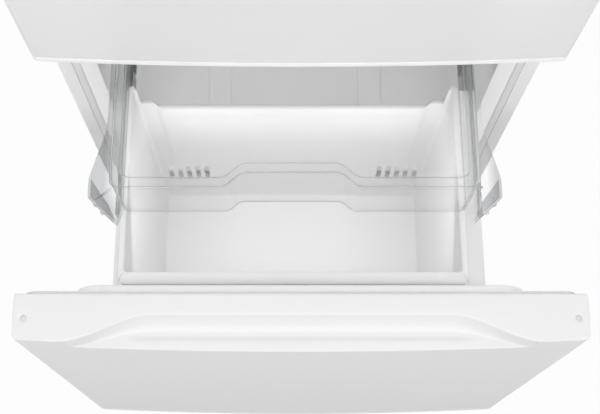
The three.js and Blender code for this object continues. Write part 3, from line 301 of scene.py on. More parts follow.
def skin(bm, rows, closed=False):
    """A sheet of faces over rows of points; closed rows meet their own start."""
    wide = len(rows[0]) + closed
    grid = bmesh.ops.create_grid(bm, x_segments=wide - 1, y_segments=len(rows) - 1, size=1)["verts"]
    for index, vert in enumerate(grid):
        row = rows[index // wide]
        vert.co = row[index % wide % len(row)]
    bmesh.ops.remove_doubles(bm, verts=grid, dist=CLOSE)


def seal(bm):
    """Fills what is open and turns all faces outwards."""
    bmesh.ops.remove_doubles(bm, verts=bm.verts, dist=CLOSE)
    bmesh.ops.dissolve_degenerate(bm, edges=bm.edges, dist=CLOSE)
    bmesh.ops.holes_fill(bm, edges=[e for e in bm.edges if e.is_boundary], sides=0)
    bmesh.ops.recalc_face_normals(bm, faces=bm.faces)
    return bm


def ringed(rows):
    """A closed body over rows that are rings."""
    bm = bmesh.new()
    skin(bm, rows, closed=True)
    return seal(bm)


def walled(bm, thickness, core, inside_out=False):
    """Turns a skin away from its core, or towards it, and gives it its thickness behind."""
    bmesh.ops.recalc_face_normals(bm, faces=bm.faces)
    widest = max(bm.faces, key=lambda face: face.calc_area())
    away = (widest.calc_center_median() - Vector(core)).dot(widest.normal) > 0
    if away == inside_out:
        bmesh.ops.reverse_faces(bm, faces=bm.faces)
    bmesh.ops.solidify(bm, geom=bm.faces[:], thickness=thickness)
    bmesh.ops.recalc_face_normals(bm, faces=bm.faces)
    return bm


def ease(bm, edges, width, segments, clamp=False):
    """Rounds some edges."""
    bmesh.ops.bevel(bm, geom=edges, offset=width, offset_type="OFFSET", affect="EDGES",
                    segments=segments, profile=0.5, material=-1, clamp_overlap=clamp)


def block(bm, low, high, soft, segments):
    """A box between two corners, with rounded edges."""
    size = [b - a for a, b in zip(low, high)]
    middle = [(a + b) / 2 for a, b in zip(low, high)]
    matrix = Matrix.Translation(middle) @ Matrix.Diagonal((*size, 1))
    verts = bmesh.ops.create_cube(bm, size=1, matrix=matrix)["verts"]
    ease(bm, list({edge for vert in verts for edge in vert.link_edges}), soft, segments)
    return bm


LAY = {"x": lambda a, b, c: (c, a, b), "y": lambda a, b, c: (a, c, b), "z": lambda a, b, c: (a, b, c)}


def prism(points, axis, low, high, soft, segments=3):
    """Extrudes an outline along an axis and rounds the edges of its two ends."""
    bm = bmesh.new()
    start = bm.faces.new([bm.verts.new(LAY[axis](p[0], p[1], low)) for p in points])
    grown = bmesh.ops.extrude_face_region(bm, geom=[start], use_keep_orig=True)["geom"]
    lifted = [v for v in grown if isinstance(v, bmesh.types.BMVert)]
    end = [f for f in grown if isinstance(f, bmesh.types.BMFace)][0]
    bmesh.ops.translate(bm, vec=LAY[axis](0, 0, high - low), verts=lifted)
    rims = [*start.edges, *end.edges]
    sides = list({face for edge in rims for face in edge.link_faces})
    bmesh.ops.recalc_face_normals(bm, faces=sides)
    ease(bm, rims, soft, segments, clamp=True)
    return bm


TURN = {
    "x": Matrix.Rotation(math.pi / 2, 4, "Y"),
    "y": Matrix.Rotation(-math.pi / 2, 4, "X"),
    "z": Matrix.Identity(4),
}


def turned(bm, profile, axis, centre, steps=32):
    """Spins a profile of (radius, height) about an axis; it starts and ends on the axis."""
    work = bmesh.new()
    points = [work.verts.new((radius, 0, height)) for radius, height in profile]
    edges = [work.edges.new(pair) for pair in zip(points, points[1:])]
    bmesh.ops.spin(work, geom=points + edges, cent=(0, 0, 0), axis=(0, 0, 1), angle=2 * math.pi,
                   steps=steps, use_merge=True, use_duplicate=False)
    bmesh.ops.remove_doubles(work, verts=work.verts, dist=CLOSE)
    bmesh.ops.recalc_face_normals(work, faces=work.faces)
    bmesh.ops.transform(work, matrix=Matrix.Translation(centre) @ TURN[axis], verts=work.verts)
    return join(bm, work)


def to_mesh(bm, name="work"):
    """A mesh with a bmesh's faces; the bmesh is used up."""
    mesh = bpy.data.meshes.new(name)
    bm.to_mesh(mesh)
    bm.free()
    return mesh


def join(bm, other):
    """Adds another bmesh's faces to the first as they are."""
    mesh = to_mesh(other)
    bm.from_mesh(mesh)
    bpy.data.meshes.remove(mesh)
    return bm


def combine(body, tool, operation):
    """Unites or cuts two closed bmeshes by a Boolean modifier and returns one bmesh."""
    pair = [placed("work", to_mesh(part)) for part in (body, tool)]
    modifier = pair[0].modifiers.new("combine", "BOOLEAN")
    modifier.operation, modifier.solver, modifier.object = operation, "EXACT", pair[1]
    bpy.context.view_layer.update()
    result = bmesh.new()
    result.from_object(pair[0], bpy.context.evaluated_depsgraph_get())
    for thing in pair:
        bpy.data.meshes.remove(thing.data)   # which removes the object too
    return result


slot_of = {part["node"]: part["material_slot"] for part in frame["record"]["subparts"]}


def piece(name, bm, node, slot=None, replace=True):
    """Makes a bmesh an object that moves with a node's body and, as a rule, stands for it."""
    slot = slot or slot_of[node]
    bmesh.ops.scale(bm, vec=(0.001, 0.001, 0.001), verts=bm.verts)
    made = placed(name, to_mesh(bm, name))
    made.data.shade_smooth()
    made.data.set_sharp_from_angle(angle=SMOOTH_ANGLE)
    made.data.materials.append(FINISHES[slot])
    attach(made, frame["nodes"][node]["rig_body"])
    if replace:
        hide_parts(node)
    return made


# %% [markdown]
# Outlines with round corners turn up everywhere: in the plan of a basket, in the frame of a gasket,
# in the section of a rim. One function rounds the corners of any line of points, and another gives
# the rounded rectangle that trays and liners are built from.


# %% Outline helpers
MOST = 0.48               # a corner's curve takes at most this share of a side


def rounded(points, radius, steps=4, closed=False):
    """Replaces each corner of a line by a curve that starts one radius away from it."""
    points = [Vector(p) for p in points]
    radii = radius if isinstance(radius, (list, tuple)) else [radius] * len(points)
    line = []
    for i, (corner, reach) in enumerate(zip(points, radii)):
        if reach == 0 or (not closed and i in (0, len(points) - 1)):
            line.append(corner)
            continue
        before = points[i - 1] - corner
        after = points[(i + 1) % len(points)] - corner
        start = corner + before * min(reach / max(before.length, CLOSE), MOST)
        end = corner + after * min(reach / max(after.length, CLOSE), MOST)
        for k in range(steps + 1):
            t = k / steps
            line.append(start * (1 - t) ** 2 + corner * 2 * t * (1 - t) + end * t * t)
    return line


def outline(left, right, low, high, radius, steps=5, stops=()):
    """A rounded rectangle, anticlockwise from its right side; stops are shares of its high side."""
    points = []
    middle = (left + right) / 2
    reach = (right - left) / 2 - radius
    corners = ((reach, high - radius, 0), (-reach, high - radius, 90),
               (-reach, low + radius, 180), (reach, low + radius, 270))
    for index, (out, up, start) in enumerate(corners):
        for k in range(steps + 1):
            angle = math.radians(start + 90 * k / steps)
            points.append((middle + out + radius * math.cos(angle), up + radius * math.sin(angle)))
        if index == 0:
            points += [(middle + reach * share, high) for share in sorted(stops, reverse=True)]
    return points


def quarter(radius, steps=6):
    """Pairs of (inwards, up) along a quarter round, from flat to upright."""
    angles = [math.pi / 2 * k / steps for k in range(steps + 1)]
    return [(radius * (1 - math.sin(a)), radius * (1 - math.cos(a))) for a in angles]


def smoothstep(t):
    """Climbs from 0 to 1 and is level at both ends."""
    t = min(max(t, 0), 1)
    return t * t * (3 - 2 * t)


# %% [markdown]
# ## Door fronts
#
# Both doors have a steel front that bulges by a finger's width at its middle and turns round the
# vertical edges to the back. The steel and the plastic end caps share their plan line, so that they
# meet flush. The steel's hems are drawn in by a fraction of a millimetre, which gives the fine
# shadow line that a real hem has against its cap.

# %% Plan of a door
GAP = 0.3                 # between pieces that meet
HALF = span("door_skin")[1].x
CROWN = 9.5               # bulge of a door's front
CORNER = 9                # radius of its vertical edges
SHEET = 1.2
REACH = HALF - CORNER


def bulge(x):
    """How far the front stands before the line of its two corners."""
    return CROWN * (1 - (x / HALF) ** 2)


def door_plan(node, inset=0.0, stops=()):
    """The door's outline from its back left edge round the front to its back right edge."""
    low, high = span(node)
    line = low.y + CROWN
    centre = line - bulge(REACH) + CORNER
    radius = CORNER - inset
    left = [(up - REACH - radius, centre - radius + inwards) for inwards, up in quarter(radius)]
    xs = sorted({-REACH + 2 * REACH * k / 36 for k in range(1, 36)} | set(stops))
    arc = [(x, line - bulge(x) + inset) for x in xs]
    right = [(-x, y) for x, y in reversed(left)]
    return [(-HALF + inset, high.y), *left, *arc, *right, (HALF - inset, high.y)]


def steel_front(node, notch=None):
    """Folded sheet with hemmed ends; a notch of (half width, height) is left out at the top."""
    low, high = span(node)
    stops = (-notch[0], notch[0]) if notch else ()
    levels = [(low.z, 0.8), (low.z + 0.3, 0.25), (low.z + 1, 0), (high.z - 1, 0), (high.z - 0.3, 0.25),
              (high.z, 0.8)]
    if notch:
        levels.insert(3, (notch[1], 0))
    bm = bmesh.new()
    skin(bm, [[(x, y, z) for x, y in door_plan(node, inset, stops)] for z, inset in levels])
    if notch:
        gone = [f for f in bm.faces if abs(f.calc_center_median().x) < notch[0]
                and f.calc_center_median().z > notch[1]]
        bmesh.ops.delete(bm, geom=gone, context="FACES")
    return walled(bm, SHEET, (0, high.y, (low.z + high.z) / 2))


LIP_HALF = 308            # the grip's lip, which the drawer's steel leaves free
LIP_DROP = 34             # from the cap's top down to that lip
LID = 3                   # the cap's edge above the steel
cap_low, cap_high = span("drawer_top_cap")
lip_level = cap_high.z - LIP_DROP
piece("door_front", steel_front("door_skin"), "door_skin")
piece("drawer_front", steel_front("drawer_skin", (LIP_HALF, lip_level - LID - GAP)), "drawer_skin")

# %% End caps of the doors
CAP_EDGE = 1.4
for cap in ("door_top_cap", "door_bottom_cap", "drawer_bottom_cap"):
    low, high = span(cap)
    piece(cap + "_moulding", prism(door_plan(cap), "z", low.z, high.z, CAP_EDGE), cap)

# %% [markdown]
# ## The drawer's top cap and finger grip
#
# The cap is one moulding across the drawer, with a scoop in its front. The scoop's back edge runs
# straight and sweeps out to the front in an S at both ends, and the fingers go over a low lip into a
# small trough. The section changes along the drawer, so the shape is lofted: one section every few
# millimetres, each with the same points, laid as one skin.

# %% The drawer's top cap
GRIP_HALF = 320           # where the grip runs out at the front
GRIP_STRAIGHT = 197       # half length of its straight back edge
GRIP_DEEP = 33            # back edge behind the door's corner line
GRIP_LEAN = 11            # how far the back wall leans towards the front
TROUGH_DROP = 38
TROUGH_HALF = 225
LIP_WIDE, LIP_SLOPE = 14.5, 5.5
REAR_CORNER = 4.5
OVERHANG = 1.2            # the cap's rear part is this much wider than the steel front
STEP_BACK = 24            # and starts this far behind the corner line
line = cap_low.y + CROWN


def cap_front(x):
    """The cap's front line, with round corners and the small step in its sides."""
    over = abs(x) - REACH
    if abs(x) > HALF - OVERHANG:
        return line + STEP_BACK
    if over <= 0:
        return line - bulge(x)
    radius = CORNER - OVERHANG
    return line - bulge(REACH) + radius - math.sqrt(max(radius**2 - over**2, 0))


def cap_back(x):
    """The cap's back line, with its round corners."""
    over = abs(x) - (HALF - REAR_CORNER)
    return cap_high.y if over <= 0 else cap_high.y - REAR_CORNER + math.sqrt(REAR_CORNER**2 - over**2)


def cap_section(x):
    """Points in y and z, from the bottom of the back over the top to the bottom of the front."""
    front, back, top = cap_front(x), cap_back(x), cap_high.z
    edge_drop = 1.5 * max(0, (abs(x) - HALF + 1.5) / 1.5) ** 2
    share = smoothstep((GRIP_HALF - abs(x)) / (GRIP_HALF - GRIP_STRAIGHT)) if abs(x) < GRIP_HALF else 0
    trough = smoothstep((TROUGH_HALF + 18 - abs(x)) / 36)
    level = lip_level - (TROUGH_DROP - LIP_DROP) * trough
    edge = front + (line + GRIP_DEEP - front) * share
    foot = edge - GRIP_LEAN * share - 0.2 * (share > 0)
    lip_back = min(line - CROWN + LIP_WIDE, foot - 1)
    if share > 0 and foot > front + 1:
        rise = min(lip_back + LIP_SLOPE, (foot + lip_back) / 2)
        inner = [(foot, level), (rise, level), (lip_back, lip_level), (front, lip_level)]
    elif share > 0:
        fall = (edge - front) / max(edge - foot, CLOSE)
        meet = max(top - LIP_DROP * fall, lip_level + 1)
        inner = [(front + 0.05, meet), (front + 0.03, (meet + lip_level) / 2),
                 (front + 0.02, lip_level + 0.5), (front, lip_level)]
    else:
        inner = [(front, top - 1), (front, top - 1.6), (front, top - 2.2), (front, top - LID)]
    nose = lip_level - LID if abs(x) < LIP_HALF - GAP else top - LID
    tuck = front + SHEET + GAP
    under = min(inner[-1][1], nose + 0.2) if abs(x) >= LIP_HALF else nose
    last = [(front, under), (tuck, nose - 0.1), (tuck, cap_low.z)]
    corners = [(back, cap_low.z), (back, top - edge_drop), (edge, top - edge_drop), *inner, *last]
    radii = [0, 2, 3, 8, 2.5, 2.5, 2.2, 0.6, 0, 0]
    return rounded(corners, radii, 4)


def cap_stations():
    """Even steps along the middle, close ones in the curves and at the ends."""
    lip, step = LIP_HALF - GAP, HALF - OVERHANG
    right = [0, 40, 80, 120, 150, 175, *range(185, 301, 5), 302, 304, 306, lip - CLOSE, lip + CLOSE,
             *range(310, 320, 2), 319.9, 320.1, 330, 345, 360, REACH, REACH + 3, REACH + 5.5,
             HALF - 2, step - CLOSE, step + CLOSE, HALF - 0.8, HALF - 0.4, HALF - 0.1]
    return [-x for x in reversed(right[1:])] + right


cap = bmesh.new()
skin(cap, [[(x, y, z) for y, z in cap_section(x)] for x in cap_stations()])
seal(cap)
PLUG_X, PLUG_Y = 362.8, line + 28.5   # a plug near each end of the cap
HOLE, DISH = 4.3, 8.6                 # radii of its hole and of the dish round it
PLUG = HOLE - 0.2
dish_profile = [(0, -3), (HOLE, -3), (HOLE, -0.9), (DISH, -0.25), (DISH, 2), (0, 2)]
plug_profile = [(0, -2.9), (PLUG, -2.9), (PLUG, -1.6), (HOLE - 1, -1.1), (0, -0.9)]
holes, plugs = bmesh.new(), bmesh.new()
for side in (-1, 1):
    turned(holes, dish_profile, "z", (side * PLUG_X, PLUG_Y, cap_high.z))
    turned(plugs, plug_profile, "z", (side * PLUG_X, PLUG_Y, cap_high.z), 24)
piece("drawer_cap_moulding", combine(cap, holes, "DIFFERENCE"), "drawer_top_cap")
piece("drawer_cap_plugs", plugs, "drawer_top_cap", slot="gasket_rubber", replace=False)

# %% [markdown]
# ## The basket
#
# The basket is one white moulding with leaning walls and a rim that rolls over outwards. At the
# rear the rim drops in two steps. It is built from rings: each is the basket's outline at one
# height, and they climb the inside wall, go over the rim and come down the outside. The drop lowers
# a ring's rear points.

# %% The basket
basket_low, basket_high = span("lower_basket")
RIM_WIDE, RIM_HIGH, WALL = 9.5, 8, 2.5
TAPER, FRONT_LEAN, BACK_LEAN = 10, 15, 23
FILLET, BASKET_CORNER, FRONT_ROLL = 6, 5, 8
LAND_DROP, REAR_DROP, REAR_PULL, FRONT_FALL = 46, 52, 6, 5
DROP_START, DROP_RUN = 0.91, 0.05     # shares of the rear side where its drop ends and what it takes
POST_SHARE = 0.995        # beyond this share of the rear side the corners keep their full height
basket_middle = (basket_low.x + basket_high.x) / 2
basket_half = (basket_high.x - basket_low.x) / 2 - RIM_WIDE
basket_floor = basket_low.z + WALL
basket_tall = basket_high.z - basket_floor
DROP_STOPS = (0.2, 0.45, 0.7, 0.82, 0.858, 0.87, 0.88, 0.89, 0.9, 0.912, 0.94, 0.97, 0.99)


def basket_ring(grow, level):
    """The outline at a level above the floor, grown outwards by some millimetres."""
    depth = 1 - level / basket_tall
    rolled = max(grow / RIM_WIDE, 0) ** 2
    half = basket_half - TAPER * depth + grow
    near = basket_low.y + RIM_WIDE + FRONT_LEAN * depth - grow - FRONT_ROLL * rolled
    far = basket_high.y - RIM_WIDE - BACK_LEAN * depth + grow
    radius = max(BASKET_CORNER + 0.4 * grow, 2.5)
    stops = (0, *DROP_STOPS, *(-s for s in DROP_STOPS))
    ring = []
    for x, y in outline(basket_middle - half, basket_middle + half, near, far, radius, 6, stops):
        out = abs(x - basket_middle) / (half - radius)
        step = smoothstep((DROP_START - out) / DROP_RUN)
        at_rear = y > far - CLOSE and out < POST_SHARE
        drop = LAND_DROP + (REAR_DROP - LAND_DROP) * step if at_rear else 0
        lowered = level * (1 - drop / basket_tall)
        if y < near + 0.5 * radius:
            lowered -= FRONT_FALL * rolled * (level > basket_tall / 2)
        back = BACK_LEAN * (level - lowered) / basket_tall + REAR_PULL * step * (level / basket_tall) ** 2
        ring.append((x, y - back * (drop > 0), basket_floor + lowered))
    return ring


inside = [(-inwards, up) for inwards, up in quarter(FILLET)]
outside = [(WALL - inwards, up - WALL) for inwards, up in reversed(quarter(FILLET + WALL))]
rim_roll = [(0, -2.6), (0.7, -0.9), (2.6, 0), (6.9, 0), (8.8, -0.9), (RIM_WIDE, -2.6),
            (RIM_WIDE, -RIM_HIGH), (8.9, -RIM_HIGH - 0.4), (7.7, -RIM_HIGH), (7.4, -3.6), (6.4, -2.7),
            (4.2, -2.9), (2.9, -3.8), (WALL, -5.5)]
SHARES = (0.3, 0.55, 0.8, 0.92)
climb = [(0, basket_tall * share) for share in SHARES]
fall = [(WALL, basket_tall * share) for share in reversed(SHARES)]
over = [(grow, basket_tall + up) for grow, up in rim_roll]
basket = ringed([basket_ring(*step) for step in (*inside, *climb, *over, *fall, *outside)])

SLOT_FIRST, SLOT_PITCH, SLOT_WIDE, SLOT_TALL, SLOT_LIFT, SLOT_SHIFT = 156, 16.8, 9, 58, 76, 3
slots = bmesh.new()
for side in (-1, 1):
    for k in range(5):
        start = basket_middle + SLOT_SHIFT + side * (SLOT_FIRST + k * SLOT_PITCH)
        low, high = sorted((start, start + side * SLOT_WIDE))
        block(slots, (low, basket_high.y - 60, basket_floor + SLOT_LIFT),
              (high, basket_high.y, basket_floor + SLOT_LIFT + SLOT_TALL), 1.6, 3)
piece("basket_moulding", combine(basket, slots, "DIFFERENCE"), "lower_basket")

# %% [markdown]
# ## The drawer's inner panel and its seal
#
# Behind the drawer's front sits a formed sheet with a raised middle, the dyke, that keeps the cold
# in. Around it runs the seal: a magnet in a vinyl tube with a fold on either side. Both are frames
# in front view, so both are skins whose rows run round a rounded rectangle.


# %% Frames seen from the front
def frame_row(box, inset, place, radius, axis="y", steps=6):
    """A rounded rectangle inside a box, seen along an axis, at a place on that axis."""
    second = {"y": 2, "z": 1}[axis]
    left, right, low, high = box[0].x, box[1].x, box[0][second], box[1][second]
    points = outline(left + inset, right - inset, low + inset, high - inset, radius, steps)
    return [LAY[axis](across, up, place) for across, up in points]


FOLDS = ((0, 0), (14, 0), (14, 0.9), (12.6, 1.7), (13.8, 2.6), (14, 3.9), (12.9, 4.8), (8.6, 4.8),
         (7.9, 4.4), (7.2, 4.8), (1.1, 4.8), (0, 3.9), (0.2, 2.6), (1.4, 1.7), (0, 0.9), (0, 0))
GASKET_CORNER = 16
for node in ("drawer_gasket", "door_gasket"):
    box = span(node)
    rows = [frame_row(box, inset, box[0].y + out, GASKET_CORNER - inset) for inset, out in FOLDS]
    piece(node + "_folds", ringed(rows), node)

DYKE_EDGE, DYKE_CORNER = 6, 34
liner_low, liner_high = span("drawer_liner")
sheet = (liner_low, Vector((liner_high.x, liner_high.y, cap_low.z - GAP)))
dyke = (Vector((-309, 0, 172)), Vector((309, 0, liner_high.z)))
base, crest = liner_low.y + WALL, liner_high.y
steps = [(sheet, 0.8, liner_low.y, 5), (sheet, 0, base - 0.8, 6), (sheet, 0.8, base, 6),
         (dyke, -3, base + 0.1, DYKE_CORNER + 3), (dyke, -0.8, base + 1, DYKE_CORNER),
         (dyke, 0, base + 3.5, DYKE_CORNER),
         *((dyke, up, crest - inwards, DYKE_CORNER - 0.6 * up) for inwards, up in quarter(DYKE_EDGE)),
         (dyke, 22, crest, 24), (dyke, 25, crest - 1, 22), (dyke, 29, crest - 2, 20)]
piece("drawer_inner_panel", ringed([frame_row(*step) for step in steps]), "drawer_liner")

# %% [markdown]
# ## Rails under the basket's rim
#
# Two folded steel arms carry the basket and run on the slides. The right one is wider, because the
# basket sits a little to the left, and a bead along its inner edge keeps the basket in place.

# %% Rails
RAIL_PLATE, RAIL_WEB, RAIL_SOFT, WEB_IN = 3, 1.5, 0.5, 12
for side, word in SIDES:
    node = "drawer_rail_" + word
    low, high = span(node)
    inner, outer = (low.x, high.x) if side > 0 else (high.x, low.x)
    web = outer - side * WEB_IN
    back = web - side * RAIL_WEB
    top, under = high.z, high.z - RAIL_PLATE
    bead = ((1, 0), (6, 0), (8, 2), (12, 2), (14, 0)) if side > 0 else ((0, 0),)
    section = [*((inner + out, top + up) for out, up in bead), (outer, top), (outer, under),
               (web, under), (web, low.z), (back, low.z), (back, under), (inner, under)]
    fold = prism(rounded(section, 0.8, 2, closed=True), "y", low.y, high.y, RAIL_SOFT, 1)
    piece(node + "_fold", fold, node)

SCREW = ((0, -2), (2.2, -2), (2.2, 0), (4.4, 0), (4.4, 0.7), (3.7, 1.6), (1.7, 1.9), (1.6, 1.0), (0, 1.0))


def screws(name, places, axis, node):
    """Pan head screws with a round driver recess, at a list of places."""
    bm = bmesh.new()
    for place in places:
        turned(bm, SCREW, axis, place, 20)
    piece(name, bm, node, slot="zinc_steel", replace=False)


CLIP_Y = -480
for word, x in (("left", -271.5), ("right", 263.5)):
    rail = "drawer_rail_" + word
    screws("basket_clip_" + word, [(x, CLIP_Y, span(rail)[1].z)], "z", rail)

# %% [markdown]
# ## Liners of the two compartments
#
# Each compartment is a white sheet, drawn hot into a box with wide curves, because a sheet tears at
# sharp ones. Its rings stand upright and march from the front lip, over the bevel of the mouth,
# along the room to its rounded back. In the freezer the floor climbs a step over the machine space.
# The room is an open skin, seen from inside, that gets its thickness behind. The freezer's lip and
# mouth are pieces of their own, because lamps are aimed at them.

# %% Liners
THROAT, THROAT_DEEP = 12, 34
ROOM_HALF, ROOM_CORNER, BACK_ROUND = 330, 22, 26
FOOT_ROUND, HEAD_ROUND = 12, 10       # curves of the freezer's step
REAR_FROM = 500                       # what lies deeper than this belongs to a room's back


def room_rows(node, floor, ceiling, lip_low, lip_high, step=None):
    """Rows of a compartment; step is (place in depth, height) where its floor climbs."""
    low, high = span(node)
    front, back = low.y, high.y - WALL

    def row(y, half, bottom, top, radius):
        return [(x, y, z) for x, z in outline(-half, half, bottom, top, radius, 8)]

    side, mouth = high.x, ROOM_HALF + THROAT
    mouth_low, mouth_high = floor - THROAT, ceiling + THROAT
    rows = [row(front + 1.6, side, low.z, high.z, 3),
            row(front + 0.4, side - 0.3, low.z + 0.3, high.z - 0.3, 3),
            row(front, side - 1.2, low.z + 1.2, high.z - 0.8, 3),
            row(front, mouth + 1.5, mouth_low - 1.5 * lip_low, mouth_high + 1.5 * lip_high, 15),
            row(front + 1.5, mouth - 0.3, mouth_low + 0.3, mouth_high - 0.3, 16),
            row(front + THROAT_DEEP - 3, ROOM_HALF + 0.8, floor - 0.8, ceiling + 0.8, ROOM_CORNER),
            row(front + THROAT_DEEP + 3, ROOM_HALF, floor, ceiling, ROOM_CORNER)]
    if step:
        depth, height = step
        foot = [(depth - inwards, floor + up) for inwards, up in quarter(FOOT_ROUND, 5)]
        head = [(depth + up, height - inwards) for inwards, up in quarter(HEAD_ROUND, 5)]
        rows += [row(y, ROOM_HALF, z, ceiling, ROOM_CORNER) for y, z in foot + head]
        floor = height
    for inwards, up in reversed(quarter(BACK_ROUND)):
        rows.append(row(back - up, ROOM_HALF - inwards, floor + inwards, ceiling - inwards, ROOM_CORNER))
    return rows


def lining(rows, height, inside_out=True):
    """A skin over a room's rows that is closed at the back; height is that of the room's middle."""
    bm = bmesh.new()
    skin(bm, rows, closed=True)
    rear = [e for e in bm.edges if e.is_boundary and e.verts[0].co.y > REAR_FROM]
    bmesh.ops.holes_fill(bm, edges=rear, sides=0)
    return walled(bm, WALL, (0, 100, height), inside_out)


freezer_front = span("freezer_liner")[0].y
FREEZER_FLOOR, FREEZER_CEILING, STEP_DEPTH, STEP_TOP = 150, 712, 276.25, 300
LIP_ROWS, MOUTH_ROWS = 5, 7           # rows of the flat lip, and of the lip and its bevel
rows = room_rows("freezer_liner", FREEZER_FLOOR, FREEZER_CEILING, 1, 0, (STEP_DEPTH, STEP_TOP))
piece("freezer_lip", lining(rows[:LIP_ROWS], 500, False), "freezer_liner")
piece("freezer_mouth", lining(rows[LIP_ROWS - 1:MOUTH_ROWS], 500), "freezer_liner")
room = lining(rows[MOUTH_ROWS - 1:], 500)
PAD_HALF, PAD_HIGH = 22.5, 6
for x in (-153, 152):
    block(room, (x - PAD_HALF, freezer_front + 48, FREEZER_FLOOR - 1),
          (x + PAD_HALF, STEP_DEPTH - 22, FREEZER_FLOOR + PAD_HIGH), 1.5, 2)
piece("freezer_compartment", room, "freezer_liner")

FRIDGE_FLOOR, FRIDGE_CEILING = 784, 1620
LEDGE_WIDE, LEDGE_HIGH = 12, 9
SHELVES = ("shelf_upper", "shelf_lower", "crisper_cover")
room = lining(room_rows("fridge_liner", FRIDGE_FLOOR, FRIDGE_CEILING, 0, 1), 1200)
for shelf in SHELVES:
    low, high = span(shelf)
    for side in (-1, 1):
        xs = sorted((side * (ROOM_HALF - LEDGE_WIDE), side * (ROOM_HALF + 1)))
        block(room, (xs[0], low.y + 6, low.z - GAP - LEDGE_HIGH), (xs[1], high.y - 10, low.z - GAP), 2.5, 3)
piece("fridge_compartment", room, "fridge_liner")

# %% [markdown]
# ## The cabinet's steel
#
# One sheet is folded over the top and down both sides. Its front edge turns in to meet the liners,
# and its back edge turns in to hold the back panel. It is drawn as a section of the cabinet,
# marched from the front to the back.

# %% Cabinet shell
FLANGE, SHELL_CORNER = 23, 5
shell_low, shell_high = span("cabinet_shell")


def shell_row(inset, y):
    """The sheet's line at a depth: up the left side, over the top and down the right side."""
    side, top = shell_high.x - inset, shell_high.z - inset
    left = [(up - side, y, top - inwards) for inwards, up in quarter(max(SHELL_CORNER - inset, 0.4), 5)]
    right = [(-x, y, z) for x, y, z in reversed(left)]
    return [(-side, y, shell_low.z), *left, *right, (side, y, shell_low.z)]


front, back = shell_low.y, shell_high.y
shell = bmesh.new()
skin(shell, [shell_row(*step) for step in (
    (FLANGE, front + 2.5), (FLANGE, front + 0.7), (FLANGE - 0.7, front), (1.6, front), (0.5, front + 0.5),
    (0, front + 1.6), (0, back - 1.6), (0.5, back - 0.5), (1.6, back), (12, back), (12.6, back - 0.6))])
piece("cabinet_sheet", walled(shell, SHEET, (0, 200, 900)), "cabinet_shell")

# %% [markdown]
# ## Solids that only need rounding
#
# Brackets, slides, hinges and covers have the right shape already, but a real fold or moulding has
# no knife edges. A copy of the solid is merged, its flat facets are joined, and its sharp edges get
# a small bevel. Hidden solids, such as the foam, keep their mesh and take their finish.


# %% Rounded copies
def softened(node, width):
    """A copy of a node's solid, in millimetres, with its sharp edges rounded."""
    bm = bmesh.new()
    bm.from_mesh(frame["nodes"][node].data)
    bmesh.ops.scale(bm, vec=(1000, 1000, 1000), verts=bm.verts)
    bmesh.ops.remove_doubles(bm, verts=bm.verts, dist=CLOSE)
    bmesh.ops.dissolve_limit(bm, angle_limit=math.radians(0.5), verts=bm.verts, edges=bm.edges)
    sharp = [e for e in bm.edges if e.is_manifold and e.calc_face_angle(0) > CAD_SHARP]
    ease(bm, sharp, width, 2, clamp=True)
    return bm


ROUNDINGS = {
    "mullion_rail": 1.2, "base_frame": 0.5, "toe_grille": 0.8, "rear_access_cover": 0.3,
    "back_panel": 0.5, "top_hinge": 0.6, "top_hinge_cover": 2.0, "center_hinge": 0.6,
    **{f"slide_{member}_{word}": 0.4 for member in ("outer", "middle", "inner") for _, word in SIDES},
    "evaporator_cover": 0.6, "air_duct": 1.5, "control_housing": 2.5, "light_lens": 1.0,
    "door_switch": 1.2, "condenser_fan_motor": 0.6, "drain_pan": 1.0, "compressor": 1.5,
}
for node, width in ROUNDINGS.items():
    piece(node + "_soft", softened(node, width), node)

for node, solid in frame["nodes"].items():
    solid.data.materials.clear()
    solid.data.materials.append(FINISHES[slot_of[node]])

# %% [markdown]
# ## Feet, wheels and fasteners
#
# Turned parts are profiles spun about their axis: a levelling leg with its threaded stud, a roller
# with a rounded tread, and pan head screws. The thread is drawn as rings, which look like a helix
# at this size.

# %% Legs and rollers
FOOT, STUD, BORE = 20, 6, 3.5         # radii
for _, word in SIDES:
    node = "levelling_leg_" + word
    low, high = span(node)
    middle = (low + high) / 2
    thread = [(STUD - 0.6 * (k % 2), 12 + 1.2 * k) for k in range(23)]
    profile = [(0, 0), (FOOT - 2, 0), (FOOT, 1.5), (FOOT, 6.5), (FOOT - 1.5, 8.2), (13, 10), (STUD, 10),
               *thread, (STUD - 1, high.z), (0, high.z)]
    piece(node + "_turned", turned(bmesh.new(), profile, "z", (middle.x, middle.y, 0), 40), node)

    node = "rear_roller_" + word
    low, high = span(node)
    middle = (low + high) / 2
    tread, wide = high.z / 2, (high.x - low.x) / 2
    profile = [(r, up - wide) for r, up in ((BORE, 0), (8, 0), (8.5, 1.5), (12.5, 2), (13, 0.4), (15.2, 0),
                                            (tread - 0.4, 1.6), (tread, 4))]
    section = [*profile, *((r, -h) for r, h in reversed(profile)), (BORE, -wide)]
    piece(node + "_turned", seal(turned(bmesh.new(), section, "x", middle, 40)), node)

# %% Screws on the cabinet and its back
back_high = span("back_panel")[1]
edge = back_high.x - 12
HEAD_SUNK = 1.4           # the sheet is dimpled round a screw, and its head stays clear of a wall
sunk = back_high.y - HEAD_SUNK
places = [(side * edge, sunk, z) for side in (-1, 1) for z in range(290, 1650, 168)]
places += [(x, sunk, back_high.z - 12) for x in range(-270, 271, 135)]
screws("back_panel_screws", places, "y", "back_panel")
cover_low, cover_high = span("rear_access_cover")
places = [(x, cover_high.y - HEAD_SUNK, z) for x in (-362, -180, 0, 180, 362)
          for z in (cover_low.z + 9, cover_high.z - 9)]
screws("access_cover_screws", places, "y", "rear_access_cover")

